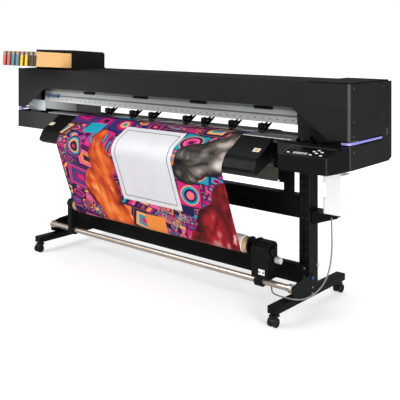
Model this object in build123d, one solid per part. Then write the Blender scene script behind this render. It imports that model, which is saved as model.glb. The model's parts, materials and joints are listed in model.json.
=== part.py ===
from build123d import *
import math
import os

# Wide-format roll-to-roll printer cutter on a castered stand.
# Millimetres. X runs along the machine, -Y is the operator's side, +Z is up.
# The origin is the middle of the bounding box's bottom face, on the floor.

os.makedirs("parts", exist_ok=True)

# ---- driving dimensions --------------------------------------------------
HALF_LENGTH = 1387.5
FRONT = -212.0
BACK = 250.0
BODY_TOP = 1274.0
BODY_BOTTOM = 842.0
SHEET = 3.0
CORNER_R = 28.0
SEAM_Z = 1138.5
SLIT_LOW = 962.0
SLIT_HIGH = 988.0
OPENING_BOTTOM_LEFT = -1287.0
OPENING_BOTTOM_RIGHT = 1264.0
OPENING_TOP_LEFT = -1049.0
OPENING_TOP_RIGHT = 1042.0
FASCIA_RETURN = 36.0
GAP = 0.5

LEG_OUTER = 1023.0
LEG_WIDTH = 69.0
LEG_FRONT = FRONT + 213.0
LEG_BACK = FRONT + 304.0
FOOT_WIDTH = 59.0
FOOT_FRONT = FRONT - 104.0
FOOT_BACK = FRONT + 606.0
FOOT_LOW = 69.0
FOOT_TOP = 109.0
TUBE_WALL = 3.0
SADDLE_Z = 836.0

WHEEL_R = 25.0
WHEEL_WIDTH = 17.0
CASTER_BODY_WIDTH = 14.0
CASTER_TRAIL = 18.0
AXLE_R = 4.0
KINGPIN_R = 6.0
RUNNING_FIT = 0.05

TUBE_Y = FRONT + 48.0
TUBE_Z = 165.0
TUBE_R = 17.0
CLAMP_R = TUBE_R + 14.0
CORE_Y = FRONT + 40.0
CORE_Z = 350.0
CORE_R = 43.5
CORE_BORE_R = 38.0
CORE_LEFT = -740.0
UNIT_LEFT = 790.0
UNIT_RIGHT = 893.0
SWITCH_X = 858.0
ROLL_R = 48.0
WEB_LEFT = -698.0
WEB_RIGHT = 712.0
WEB_THICKNESS = 0.8
SHAFT_R = 12.0

PLATEN_TOP = 968.0
PLATEN_LEFT = -1040.0
PLATEN_RIGHT = 1028.0
GRIT_Y = FRONT + 105.0
GRIT_R = 12.0
PINCH_R = 9.0
PINCH_X = (-502.0, -265.0, -90.0, 205.0, 355.0, 563.0, 776.0)
PINCH_PIVOT_Y = FRONT + 192.0
PINCH_PIVOT_Z = 1038.0
PINCH_CAP_TOP = 1024.0

RAIL_FRONT = FRONT + 70.0
RAIL_BACK = FRONT + 180.0
RAIL_BOTTOM = 1039.0
RAIL_TOP = 1175.0
RAIL_LEFT = -1140.0
RAIL_RIGHT = 1034.0
CARRIAGE_X = 1225.0
BELT_Y = FRONT + 100.0
BELT_Z = 1195.0
PULLEY_R = 14.0
PULLEY_X = 1350.0

STATION_LEFT = -1314.0
STATION_WIDTH = 420.0
STATION_FRONT = FRONT + 123.0
STATION_DEPTH = 306.0
STATION_FLOOR = 1281.0
STATION_TOP = 1410.0
STATION_TILT = 3.8
BAY_COUNT = 8
BAY_PITCH = STATION_WIDTH / BAY_COUNT
CARTON_WIDTH = 30.0
CARTON_HEIGHT = 103.0
CARTON_PROUD = 305.0 / math.cos(math.radians(STATION_TILT))
CARTON_INSERTED = 100.0
BOTTLE_LEFT = 1110.0
BOTTLE_RIGHT = 1236.0

APRON_LEFT = -885.0
APRON_RIGHT = 925.0
SUPPLY_Y = FRONT + 385.0
SUPPLY_Z = 725.0
SUPPLY_R = 60.0
HANG_ANGLE = 70.0

CONSOLE_FRONT = FRONT - 182.0
CONSOLE_LEFT = 1085.0
CONSOLE_SLOPE = math.degrees(math.atan2(959.0 - 924.0, 121.0))
PANEL_CENTRE = (1226.0, FRONT - 115.0)
PANEL_SIZE = (262.0, 100.0)
KEY_SIZE = (17.0, 9.0)


# ---- shared shape makers -------------------------------------------------
def block(x0, x1, y0, y1, z0, z1):
    size = Box(x1 - x0, y1 - y0, z1 - z0)
    return Pos((x0 + x1) / 2, (y0 + y1) / 2, (z0 + z1) / 2) * size


def rod_x(x0, x1, y, z, radius):
    return Pos((x0 + x1) / 2, y, z) * Rot(0, 90, 0) * Cylinder(radius, x1 - x0)


def rod_y(y0, y1, x, z, radius):
    return Pos(x, (y0 + y1) / 2, z) * Rot(90, 0, 0) * Cylinder(radius, y1 - y0)


def rod_z(z0, z1, x, y, radius):
    return Pos(x, y, (z0 + z1) / 2) * Cylinder(radius, z1 - z0)


def plate_yz(points, x0, x1):
    outline = make_face(Polyline(*points, close=True))
    return extrude(Plane.YZ.offset(x0) * outline, x1 - x0)


def plate_xz(points, y0, y1):
    outline = make_face(Polyline(*points, close=True))
    side = Plane(origin=(0, y1, 0), x_dir=(1, 0, 0), z_dir=(0, -1, 0))
    return extrude(side * outline, y1 - y0)


def plate_xy(points, z0, z1):
    outline = make_face(Polyline(*points, close=True))
    return extrude(Plane.XY.offset(z0) * outline, z1 - z0)


def bent_sheet(points, radii, thickness, x0, x1):
    path = FilletPolyline(*points, radius=radii)
    strip = trace(path, thickness)
    return extrude(Plane.YZ.offset(x0) * strip, x1 - x0)


def save(name, *pieces):
    solids = []
    for piece in pieces:
        solids.extend(piece.solids())
    shape = solids[0] if len(solids) == 1 else Compound(children=solids)
    export_step(shape, f"parts/{name}.step")


# ---- stand ---------------------------------------------------------------
def caster_spots():
    foot_x = LEG_OUTER - FOOT_WIDTH / 2
    front_y = FOOT_FRONT + 30.0
    back_y = FOOT_BACK - WHEEL_R - CASTER_TRAIL
    return {
        "front_left": (-foot_x, front_y, -1),
        "front_right": (foot_x, front_y, -1),
        "rear_left": (-foot_x, back_y, 1),
        "rear_right": (foot_x, back_y, 1),
    }


def foot(side):
    outer = LEG_OUTER
    inner = LEG_OUTER - FOOT_WIDTH
    bar = block(inner, outer, FOOT_FRONT, FOOT_BACK, FOOT_LOW, FOOT_TOP)
    bar = fillet(bar.edges().filter_by(Axis.Y), 4.0)
    hollow = block(
        inner + TUBE_WALL,
        outer - TUBE_WALL,
        FOOT_FRONT + 4.0,
        FOOT_BACK - 4.0,
        FOOT_LOW + TUBE_WALL,
        FOOT_TOP - TUBE_WALL,
    )
    bar -= hollow
    for x, y, _ in caster_spots().values():
        if x > 0:
            bar += rod_z(FOOT_LOW, FOOT_TOP - 1.0, x, y, 14.0)
            bar -= rod_z(FOOT_LOW - 1.0, FOOT_TOP - 12.0, x, y, KINGPIN_R + RUNNING_FIT)
    return bar if side > 0 else mirror(bar, Plane.YZ)


def leg(side):
    outer = block(LEG_OUTER - LEG_WIDTH, LEG_OUTER, LEG_FRONT, LEG_BACK, FOOT_TOP, SADDLE_Z)
    outer = fillet(outer.edges().filter_by(Axis.Z), 5.0)
    inner = block(
        LEG_OUTER - LEG_WIDTH + TUBE_WALL,
        LEG_OUTER - TUBE_WALL,
        LEG_FRONT + TUBE_WALL,
        LEG_BACK - TUBE_WALL,
        FOOT_TOP - 1.0,
        SADDLE_Z + 1.0,
    )
    post = outer - inner
    return post if side > 0 else mirror(post, Plane.YZ)


def upper_beam():
    reach = LEG_OUTER - LEG_WIDTH
    outer = block(-reach, reach, LEG_FRONT + 8.0, LEG_BACK - 8.0, 498.0, 624.0)
    outer = fillet(outer.edges().filter_by(Axis.X), 6.0)
    inner = block(
        -reach - 1.0,
        reach + 1.0,
        LEG_FRONT + 8.0 + TUBE_WALL,
        LEG_BACK - 8.0 - TUBE_WALL,
        498.0 + TUBE_WALL,
        624.0 - TUBE_WALL,
    )
    ridge = block(-reach, reach, LEG_FRONT + 5.0, LEG_FRONT + 9.0, 536.0, 544.0)
    return outer - inner + ridge


def lower_beam():
    reach = LEG_OUTER - 2.0
    web = block(-reach, reach, LEG_FRONT - 30.0, LEG_FRONT, 150.0, 256.0)
    channel = block(-reach - 1, reach + 1, LEG_FRONT - 27.0, LEG_FRONT - 3.0, 153.0, 253.0)
    return web - channel


def gusset(side):
    """Outer side plate that carries one end of the guide tube."""
    outline = [
        (LEG_FRONT + 39.0, FOOT_TOP - 34.0),
        (LEG_FRONT + 39.0, 198.0),
        (LEG_FRONT - 14.0, 200.0),
        (FRONT + 126.0, 196.0),
        (FRONT + 72.0, 186.0),
        (FRONT + 44.0, 172.0),
        (FRONT + 36.0, 150.0),
        (FRONT + 40.0, 118.0),
        (FRONT + 66.0, FOOT_TOP + 1.0),
        (FRONT + 120.0, FOOT_TOP - 34.0),
    ]
    plate = plate_yz(outline, LEG_OUTER, LEG_OUTER + 6.0)
    return plate if side > 0 else mirror(plate, Plane.YZ)


def saddle(side):
    plate = block(LEG_OUTER - 110.0, LEG_OUTER, LEG_FRONT - 30.0, LEG_BACK + 20.0, SADDLE_Z, BODY_BOTTOM)
    return plate if side > 0 else mirror(plate, Plane.YZ)


def supply_bracket(side):
    inner = LEG_OUTER - LEG_WIDTH - 6.0
    outline = [
        (LEG_BACK - 70.0, SUPPLY_Z - 40.0),
        (LEG_BACK, SUPPLY_Z - 48.0),
        (SUPPLY_Y + 24.0, SUPPLY_Z - 26.0),
        (SUPPLY_Y + 24.0, SUPPLY_Z + 34.0),
        (LEG_BACK, SUPPLY_Z + 60.0),
        (LEG_BACK - 70.0, SUPPLY_Z + 60.0),
    ]
    plate = plate_yz(outline, inner, inner + 6.0)
    slot_half = SHAFT_R + 0.1
    slot_top = SUPPLY_Z + 80.0
    plate -= block(inner - 1, inner + 7, SUPPLY_Y - slot_half, SUPPLY_Y + slot_half, SUPPLY_Z, slot_top)
    plate -= rod_x(inner - 1.0, inner + 7.0, SUPPLY_Y, SUPPLY_Z, slot_half)
    return plate if side > 0 else mirror(plate, Plane.YZ)


def bottle_bracket():
    shelf = block(LEG_OUTER, 1200.0, LEG_FRONT - 16.0, LEG_BACK - 6.0, 549.0, 555.0)
    web = [
        (LEG_OUTER, 549.0),
        (LEG_OUTER, 479.0),
        (LEG_OUTER + 20.0, 479.0),
        (1185.0, 530.0),
        (1200.0, 549.0),
    ]
    front_web = plate_xz(web, LEG_FRONT + 16.0, LEG_FRONT + 20.0)
    back_web = plate_xz(web, LEG_BACK - 12.0, LEG_BACK - 8.0)
    return shelf + front_web + back_web


def body_bracket():
    hanger = block(820.0, 922.0, LEG_FRONT + 2.0, LEG_FRONT + 8.0, 684.0, 848.0)
    strut = block(852.0, 922.0, LEG_FRONT + 2.0, LEG_FRONT + 8.0, 560.0, 684.0)
    return hanger + strut


def stand_plates():
    pieces = [bottle_bracket(), body_bracket()]
    for side in (-1, 1):
        pieces.append(gusset(side))
        pieces.append(saddle(side))
        pieces.append(supply_bracket(side))
    return pieces


def tube_collar(side):
    ring = rod_x(LEG_OUTER - 20.0, LEG_OUTER, TUBE_Y, TUBE_Z, TUBE_R + 7.0)
    ring += rod_x(LEG_OUTER - 26.0, LEG_OUTER - 20.0, TUBE_Y, TUBE_Z, TUBE_R + 4.0)
    ring -= rod_x(LEG_OUTER - 30.0, LEG_OUTER + 1.0, TUBE_Y, TUBE_Z, TUBE_R)
    return ring if side > 0 else mirror(ring, Plane.YZ)


def guide_tube():
    tube = rod_x(-LEG_OUTER, LEG_OUTER, TUBE_Y, TUBE_Z, TUBE_R)
    tube -= rod_x(-LEG_OUTER - 1.0, LEG_OUTER + 1.0, TUBE_Y, TUBE_Z, TUBE_R - 2.0)
    return tube


def caster_fork(x, y, trail):
    wheel_y = y + trail * CASTER_TRAIL
    half = CASTER_BODY_WIDTH / 2
    hub = rod_x(x - half, x + half, wheel_y, WHEEL_R, WHEEL_R - 6.0)
    neck_low = min(y, wheel_y) - 14.0
    neck_high = max(y, wheel_y) + 14.0
    neck = block(x - half, x + half, neck_low, neck_high, WHEEL_R, FOOT_LOW - 9.0)
    hood = block(
        x - 24.0,
        x + 24.0,
        neck_low,
        neck_high,
        2 * WHEEL_R + 2.0,
        FOOT_LOW - 9.0,
    )
    hood = fillet(hood.edges().filter_by(Axis.Z), 10.0)
    collar = rod_z(FOOT_LOW - 9.0, FOOT_LOW - 0.4, x, y, 17.0)
    kingpin = rod_z(FOOT_LOW - 9.0, FOOT_TOP - 14.0, x, y, KINGPIN_R)
    fork = hub + neck + hood + collar + kingpin
    fork -= rod_x(x - half - 1, x + half + 1, wheel_y, WHEEL_R, AXLE_R + RUNNING_FIT)
    return fork


def caster_wheels(x, y, trail):
    wheel_y = y + trail * CASTER_TRAIL
    inner = CASTER_BODY_WIDTH / 2 + 0.6
    axle = rod_x(x - inner - 1.0, x + inner + 1.0, wheel_y, WHEEL_R, AXLE_R)
    wheels = axle
    for side in (-1, 1):
        near = x + side * inner
        far = x + side * (inner + WHEEL_WIDTH)
        wheel = rod_x(min(near, far), max(near, far), wheel_y, WHEEL_R, WHEEL_R)
        wheel = fillet(wheel.edges(), 2.5)
        dish = rod_x(min(far, far - side * 3.0), max(far, far - side * 3.0), wheel_y, WHEEL_R, 15.0)
        wheels += wheel - dish
    return wheels


# ---- take-up reel --------------------------------------------------------
def tube_shoe(x0, x1):
    """Ring clamp round the guide tube, with its pinch lug and bolt behind."""
    shoe = rod_x(x0, x1, TUBE_Y, TUBE_Z, CLAMP_R)
    shoe = fillet(shoe.edges(), 3.0)
    shoe += block(x0 + 6.0, x1 - 6.0, TUBE_Y + 26.0, TUBE_Y + 52.0, TUBE_Z - 9.0, TUBE_Z + 9.0)
    shoe += rod_z(TUBE_Z - 15.0, TUBE_Z + 15.0, (x0 + x1) / 2, TUBE_Y + 44.0, 6.0)
    return shoe - rod_x(x0 - 1.0, x1 + 1.0, TUBE_Y, TUBE_Z, TUBE_R + 0.1)


def gearbox_outline(grow):
    front = CORE_Y - 52.0 - grow
    back = CORE_Y + 52.0 + grow
    top = CORE_Z + 42.0 + grow
    return [
        (front + 34.0, top),
        (back - 20.0, top),
        (back, top - 20.0),
        (back, 312.0),
        (back - 14.0, 300.0),
        (front, 300.0),
        (front, top - 30.0),
    ]


def takeup_housing():
    gearbox = plate_yz(gearbox_outline(0.0), UNIT_LEFT + 14.0, UNIT_RIGHT)
    gearbox = fillet(gearbox.edges().filter_by(Axis.X), 5.0)
    flange_plate = plate_yz(gearbox_outline(3.0), UNIT_LEFT, UNIT_LEFT + 16.0)
    lower_outline = [
        (CORE_Y - 49.0, 302.0),
        (CORE_Y - 49.0, 200.0),
        (CORE_Y - 43.0, 194.0),
        (CORE_Y + 66.0, 194.0),
        (CORE_Y + 66.0, 216.0),
        (CORE_Y + 36.0, 302.0),
    ]
    lower = plate_yz(lower_outline, UNIT_LEFT, UNIT_RIGHT + 4.0)
    shoe = tube_shoe(UNIT_LEFT - 6.0, UNIT_LEFT + 44.0)
    neck = block(UNIT_LEFT, UNIT_LEFT + 40.0, TUBE_Y - 26.0, TUBE_Y + 26.0, TUBE_Z + 24.0, 195.0)
    boss = rod_x(782.0, 791.0, CORE_Y, CORE_Z, 34.0)
    bearing_cap = rod_x(UNIT_RIGHT - 1.0, UNIT_RIGHT + 13.0, CORE_Y + 4.0, CORE_Z - 8.0, 27.0)
    bearing_cap = fillet(bearing_cap.edges().group_by(Axis.X)[-1], 4.0)
    motor_seat = rod_x(UNIT_RIGHT - 1.0, UNIT_RIGHT + 9.0, CORE_Y + 24.0, CORE_Z - 58.0, 27.0)
    housing = gearbox + flange_plate + lower + shoe + neck + boss + bearing_cap + motor_seat
    housing += unit_gland()
    housing -= rod_x(775.0, 860.0, CORE_Y, CORE_Z, SHAFT_R + RUNNING_FIT)
    housing -= rod_x(UNIT_LEFT - 8.0, UNIT_LEFT + 50.0, TUBE_Y, TUBE_Z, TUBE_R + 0.1)
    housing -= block(SWITCH_X - 21.0, SWITCH_X + 21.0, CORE_Y - 50.0, CORE_Y - 36.0, 215.0, 251.0)
    return housing


def takeup_switch():
    rocker = block(SWITCH_X - 20.0, SWITCH_X + 20.0, CORE_Y - 52.0, CORE_Y - 42.0, 218.0, 248.0)
    return fillet(rocker.edges().filter_by(Axis.X), 3.0)


def takeup_flange():
    shaft = rod_x(752.0, 855.0, CORE_Y, CORE_Z, SHAFT_R)
    disc = rod_x(752.0, 760.0, CORE_Y, CORE_Z, 50.0)
    disc = fillet(disc.edges(), 2.0)
    plug = rod_x(700.0, 753.0, CORE_Y, CORE_Z, CORE_BORE_R)
    plug = chamfer(plug.edges().group_by(Axis.X)[0], 4.0)
    return shaft + disc + plug


def takeup_core():
    core = rod_x(CORE_LEFT, 752.0, CORE_Y, CORE_Z, CORE_R)
    return core - rod_x(CORE_LEFT - 1.0, 753.0, CORE_Y, CORE_Z, CORE_BORE_R)


def takeup_roll():
    roll = rod_x(WEB_LEFT, WEB_RIGHT, CORE_Y, CORE_Z, ROLL_R)
    return roll - rod_x(WEB_LEFT - 1, WEB_RIGHT + 1, CORE_Y, CORE_Z, CORE_R)


def core_holder_left():
    right = CORE_LEFT - 16.0
    shoe = tube_shoe(right - 60.0, right - 6.0)
    arm_outline = [
        (CORE_Y - 28.0, TUBE_Z + 24.0),
        (CORE_Y + 34.0, TUBE_Z + 24.0),
        (CORE_Y + 26.0, CORE_Z + 24.0),
        (CORE_Y - 26.0, CORE_Z + 24.0),
    ]
    arm = plate_yz(arm_outline, right - 54.0, right - 14.0)
    boss = rod_x(right - 60.0, right, CORE_Y, CORE_Z, 30.0)
    holder = shoe + arm + boss
    holder -= rod_x(right - 54.0, right + 1.0, CORE_Y, CORE_Z, SHAFT_R + RUNNING_FIT)
    return holder - rod_x(right - 70.0, right, TUBE_Y, TUBE_Z, TUBE_R + 0.1)


def core_flange_left():
    shaft = rod_x(CORE_LEFT - 60.0, CORE_LEFT - 8.0, CORE_Y, CORE_Z, SHAFT_R)
    disc = rod_x(CORE_LEFT - 10.0, CORE_LEFT - 2.0, CORE_Y, CORE_Z, 50.0)
    plug = rod_x(CORE_LEFT - 3.0, CORE_LEFT + 44.0, CORE_Y, CORE_Z, CORE_BORE_R - 0.4)
    plug = chamfer(plug.edges().group_by(Axis.X)[-1], 4.0)
    return shaft + disc + plug


# ---- media ---------------------------------------------------------------
def apron_line():
    return [
        (FRONT + 6.0, 963.2),
        (FRONT - 46.0, 927.0),
        (FRONT - 144.0, 868.0),
        (FRONT - 174.0, 806.0),
        (FRONT - 140.0, 786.0),
    ]


def raised_corner(before, corner, after, height):
    first = math.atan2(corner[1] - before[1], corner[0] - before[0])
    second = math.atan2(after[1] - corner[1], after[0] - corner[0])
    middle = (first + second) / 2 - math.pi / 2
    reach = height / math.cos((second - first) / 2)
    return (corner[0] + reach * math.cos(middle), corner[1] + reach * math.sin(middle))


def media_web():
    lift = PLATEN_TOP + 0.4 + WEB_THICKNESS / 2
    guide = apron_line()
    clearance = 2.4
    brow = raised_corner(*[guide[i] for i in (0, 1, 2)], clearance)
    cheek = raised_corner(*[guide[i] for i in (1, 2, 3)], clearance)
    slope = (guide[0][1] - guide[1][1]) / (guide[0][0] - guide[1][0])
    edge = (brow[0] + (lift - brow[1]) / slope, lift)
    wrap = ROLL_R + 0.4 + WEB_THICKNESS
    under = (CORE_Y - wrap * math.tan(math.radians(HANG_ANGLE / 2)), CORE_Z - wrap)
    nose_z = 806.0
    nose = (under[0] - (nose_z - under[1]) / math.tan(math.radians(HANG_ANGLE)), nose_z)
    points = [
        (SUPPLY_Y + SUPPLY_R + 0.8, SUPPLY_Z + 4.0),
        (SUPPLY_Y + SUPPLY_R + 0.8, 942.0),
        (FRONT + 330.0, lift - 5.0),
        (FRONT + 214.0, lift),
        edge,
        brow,
        cheek,
        nose,
        under,
        (CORE_Y + 2.0, CORE_Z - wrap),
    ]
    radii = [62.0, 300.0, 400.0, 30.0, 62.4, 62.4, 60.0, wrap]
    return bent_sheet(points, radii, WEB_THICKNESS, WEB_LEFT, WEB_RIGHT)


def supply_roll():
    roll = rod_x(WEB_LEFT, WEB_RIGHT, SUPPLY_Y, SUPPLY_Z, SUPPLY_R)
    return roll - rod_x(WEB_LEFT - 1, WEB_RIGHT + 1, SUPPLY_Y, SUPPLY_Z, CORE_BORE_R)


def supply_shaft():
    reach = LEG_OUTER - LEG_WIDTH - 0.5
    shaft = rod_x(-reach, reach, SUPPLY_Y, SUPPLY_Z, SHAFT_R)
    for x0, x1, flange in ((WEB_LEFT, WEB_LEFT + 44, WEB_LEFT - 8), (WEB_RIGHT - 44, WEB_RIGHT, WEB_RIGHT)):
        shaft += rod_x(x0, x1, SUPPLY_Y, SUPPLY_Z, CORE_BORE_R)
        shaft += rod_x(flange, flange + 8.0, SUPPLY_Y, SUPPLY_Z, 70.0)
    return shaft


# ---- media path in the body ----------------------------------------------
def base_frame():
    beam = block(-1060.0, 1060.0, FRONT + 112.0, FRONT + 340.0, 848.0, 930.0)
    beam -= block(-1070.0, 1070.0, FRONT + 116.0, FRONT + 336.0, 852.0, 926.0)
    frame = beam
    for x in (-1040.0, 1034.0):
        frame += block(x - 4.0, x + 4.0, FRONT + 70.0, FRONT + 212.0, 928.0, 966.0)
    for x in (-1060.0, 0.0, 1050.0):
        frame += block(x, x + 8.0, FRONT + 116.0, FRONT + 336.0, 850.0, 928.0)
    frame -= rod_x(-1050.0, 1045.0, GRIT_Y, PLATEN_TOP - GRIT_R, 8.0 + RUNNING_FIT)
    frame += block(-857.0, 812.0, LEG_FRONT, LEG_FRONT + 2.0, 684.0, 764.0)
    for x in (-850.0, -480.0, -110.0, 260.0, 630.0):
        frame += block(x, x + 50.0, LEG_FRONT, LEG_FRONT + 2.0, 763.0, 849.0)
    frame += block(-1060.0, -960.0, LEG_FRONT - 20.0, LEG_BACK, BODY_BOTTOM, 849.0)
    frame += block(960.0, 1060.0, LEG_FRONT - 20.0, LEG_BACK, BODY_BOTTOM, 849.0)
    return frame


def platen():
    front_board = block(PLATEN_LEFT + 6, PLATEN_RIGHT, FRONT + 16.0, GRIT_Y - 14.0, 962.0, PLATEN_TOP)
    front_edges = front_board.edges().filter_by(Axis.X).group_by(Axis.Y)[0]
    front_board = fillet(front_edges.sort_by(Axis.Z)[-1:], 5.0)
    rear_board = block(PLATEN_LEFT + 6, PLATEN_RIGHT, GRIT_Y + 14.0, FRONT + 212.0, 962.0, PLATEN_TOP)
    holes = []
    for step in range(18):
        x = -900.0 + step * 105.0
        holes.append(rod_z(950.0, 980.0, x, FRONT + 62.0, 1.5))
        holes.append(rod_z(950.0, 980.0, x + 52.0, FRONT + 30.0, 1.5))
    front_board -= holes
    rib = block(PLATEN_LEFT + 6, PLATEN_RIGHT, FRONT + 180.0, FRONT + 200.0, 930.0, 962.0)
    front_rib = block(PLATEN_LEFT + 6, PLATEN_RIGHT, FRONT + 71.0, FRONT + 77.0, 930.0, 962.0)
    shelf = block(PLATEN_LEFT + 6, PLATEN_RIGHT, FRONT + 71.0, FRONT + 200.0, 930.2, 934.0)
    groove_clear = rod_x(PLATEN_LEFT, PLATEN_RIGHT + 1, GRIT_Y, PLATEN_TOP - GRIT_R, GRIT_R + 1.0)
    return front_board + front_rib + shelf + rib + rear_board - groove_clear


def front_apron():
    skin = bent_sheet(apron_line(), [60.0, 60.0, 12.0], 2.5, APRON_LEFT, APRON_RIGHT)
    end_outline = [
        (FRONT + 9.0, 962.0),
        (FRONT - 46.0, 924.0),
        (FRONT - 135.0, 868.0),
        (FRONT - 164.0, 809.0),
        (FRONT - 144.0, 789.8),
        (FRONT - 4.0, 846.0),
        (FRONT - 4.0, 900.0),
    ]
    apron = skin
    rib_x = (APRON_LEFT, -420.0, 30.0, 480.0, APRON_RIGHT - 3.0)
    for x in rib_x:
        apron += plate_yz(end_outline, x, x + 3.0)
    return apron


def rear_guide():
    points = [
        (FRONT + 214.0, 965.0),
        (FRONT + 330.0, 957.0),
        (FRONT + 436.0, 930.0),
        (FRONT + 436.0, 812.0),
        (FRONT + 404.0, 802.0),
    ]
    return bent_sheet(points, [200.0, 50.0, 10.0], 2.0, PLATEN_LEFT, PLATEN_RIGHT - 110.0)


def grit_roller():
    roller = rod_x(-1052.0, 1058.0, GRIT_Y, PLATEN_TOP - GRIT_R, 8.0)
    sleeves = rod_x(-1030.0, 1024.0, GRIT_Y, PLATEN_TOP - GRIT_R, GRIT_R)
    return roller + sleeves


def feed_motor():
    can = rod_x(1059.0, 1120.0, GRIT_Y, PLATEN_TOP - GRIT_R, 22.0)
    lead_box = block(1075.0, 1105.0, GRIT_Y, GRIT_Y + 40.0, 945.0, 965.0)
    return can + lead_box


# ---- rail, carriage and cutter -------------------------------------------
def rail_beam():
    visible = block(RAIL_LEFT, RAIL_RIGHT, RAIL_FRONT, RAIL_BACK, RAIL_BOTTOM, 1128.0)
    visible -= block(RAIL_LEFT - 1, RAIL_RIGHT + 1, RAIL_FRONT + 4, RAIL_BACK - 4, 1043.0, 1124.0)
    visible -= block(RAIL_LEFT - 1, RAIL_RIGHT + 1, RAIL_FRONT - 1, RAIL_FRONT + 3, 1069.0, 1078.0)
    crown = block(-1340.0, 1340.0, RAIL_FRONT, RAIL_BACK, 1128.0, RAIL_TOP)
    crown -= block(-1341.0, 1341.0, RAIL_FRONT + 4, RAIL_BACK - 4, 1132.0, RAIL_TOP - 4)
    guide = block(-1330.0, 1330.0, RAIL_FRONT - 10.0, RAIL_FRONT, 1142.0, 1160.0)
    rail = visible + crown + guide
    for side in (-1, 1):
        x = side * 1337.0
        rail += block(x - 3, x + 3, FRONT + 90.0, FRONT + 180.0, BODY_BOTTOM + 4.0, 1129.0)
    return [rail] + [pinch_lug(x) for x in (-580.0, 60.0, 860.0)]


def pinch_lug(x):
    """Bearing bolted to the back of the rail for the pinch bar."""
    lug = block(x - 4, x + 4, RAIL_BACK, PINCH_PIVOT_Y + 12, PINCH_PIVOT_Z - 14, PINCH_PIVOT_Z + 20)
    return lug - rod_x(x - 5, x + 5, PINCH_PIVOT_Y, PINCH_PIVOT_Z, 6.0 + RUNNING_FIT)


def pinch_arm(x, side):
    wheel_z = PLATEN_TOP + 0.4 + WEB_THICKNESS + 0.4 + PINCH_R
    inner = x + side * 12.0
    outer = x + side * 17.0
    outline = [
        (PINCH_PIVOT_Y + 9.0, PINCH_PIVOT_Z - 9.0),
        (PINCH_PIVOT_Y + 9.0, PINCH_PIVOT_Z + 9.0),
        (PINCH_PIVOT_Y - 9.0, PINCH_PIVOT_Z + 9.0),
        (PINCH_PIVOT_Y - 9.0, PINCH_PIVOT_Z - 12.0),
        (RAIL_BACK - 22.0, PINCH_CAP_TOP - 6.0),
        (GRIT_Y + 16.0, PINCH_CAP_TOP - 8.0),
        (GRIT_Y - 6.0, wheel_z + 8.0),
        (GRIT_Y - 6.0, wheel_z - 5.0),
        (GRIT_Y + 12.0, wheel_z - 5.0),
        (RAIL_BACK - 20.0, PINCH_CAP_TOP - 22.0),
    ]
    arm = plate_yz(outline, min(inner, outer), max(inner, outer))
    return arm - rod_x(x - 20, x + 20, GRIT_Y, wheel_z, 3.0 + RUNNING_FIT)


def pinch_bar():
    bar = rod_x(-600.0, 890.0, PINCH_PIVOT_Y, PINCH_PIVOT_Z, 6.0)
    for x in PINCH_X:
        bar += pinch_arm(x, -1)
        bar += pinch_arm(x, 1)
        cap = block(x - 17, x + 17, GRIT_Y - 10.0, GRIT_Y + 18.0, 998.0, PINCH_CAP_TOP)
        bar += fillet(cap.edges().filter_by(Axis.X), 3.0)
        bar += block(x - 12, x + 12, GRIT_Y + 10.0, RAIL_BACK - 24.0, 1002.0, PINCH_CAP_TOP - 6.0)
    return bar


def pinch_wheels():
    wheel_z = PLATEN_TOP + 0.4 + WEB_THICKNESS + 0.4 + PINCH_R
    wheels = []
    for x in PINCH_X:
        wheel = rod_x(x - 10.0, x + 10.0, GRIT_Y, wheel_z, PINCH_R)
        wheels.append(wheel + rod_x(x - 16.8, x + 16.8, GRIT_Y, wheel_z, 3.0))
    return wheels


def clamp_lever():
    hub_x = -1090.0
    hub_z = 1079.0
    hub = rod_y(RAIL_FRONT - 9.0, RAIL_FRONT - 0.4, hub_x, hub_z, 13.0)
    arm = block(hub_x, hub_x + 100.0, RAIL_FRONT - 9.0, RAIL_FRONT - 2.0, hub_z - 8.0, hub_z + 8.0)
    grip = block(hub_x + 46.0, hub_x + 114.0, RAIL_FRONT - 11.0, RAIL_FRONT - 1.0, hub_z - 11.0, hub_z + 11.0)
    grip = fillet(grip.edges().filter_by(Axis.Y), 8.0)
    return hub + arm + grip


def carriage():
    x0 = CARRIAGE_X - 75.0
    x1 = CARRIAGE_X + 75.0
    case = block(x0, x1, FRONT + 9.0, FRONT + 54.0, 1022.0, 1130.0)
    case = fillet(case.edges().filter_by(Axis.Z), 8.0)
    heads = block(x0 + 44, x1 - 8, FRONT + 14.0, FRONT + 52.0, 974.0, 1024.0)
    cutter_block = block(x0 + 4, x0 + 38, FRONT + 14.0, FRONT + 50.0, 1000.0, 1024.0)
    neck = block(x0 + 10, x1 - 10, FRONT + 30.0, FRONT + 58.0, 1128.0, 1240.0)
    neck -= block(x0, x1, FRONT + 57.0, FRONT + 59.0, 1128.0, 1180.0)
    runner = block(x0 + 10, x1 - 10, FRONT + 50.0, FRONT + 68.0, 1136.0, 1166.0)
    runner -= block(x0, x1, RAIL_FRONT - 10.4, RAIL_FRONT, 1141.6, 1160.4)
    dampers = block(x0, x1, FRONT + 12.0, FRONT + 150.0, 1208.0, 1250.0)
    dampers = fillet(dampers.edges().filter_by(Axis.Z), 8.0)
    belt_grip = block(CARRIAGE_X - 20, CARRIAGE_X + 20, BELT_Y - 24.0, BELT_Y - 16.4, 1184.0, 1210.0)
    body = case + heads + cutter_block + neck + runner + dampers + belt_grip
    return body - rod_z(999.0, 1023.0, x0 + 21.0, FRONT + 32.0, 8.0 + RUNNING_FIT)


def cutter_holder():
    x = CARRIAGE_X - 54.0
    y = FRONT + 32.0
    stem = rod_z(978.0, 1018.0, x, y, 8.0)
    collar = rod_z(980.0, 992.0, x, y, 11.0)
    tip = Pos(x, y, 975.5) * Cone(1.0, 6.0, 5.0)
    return stem + collar + tip


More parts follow.
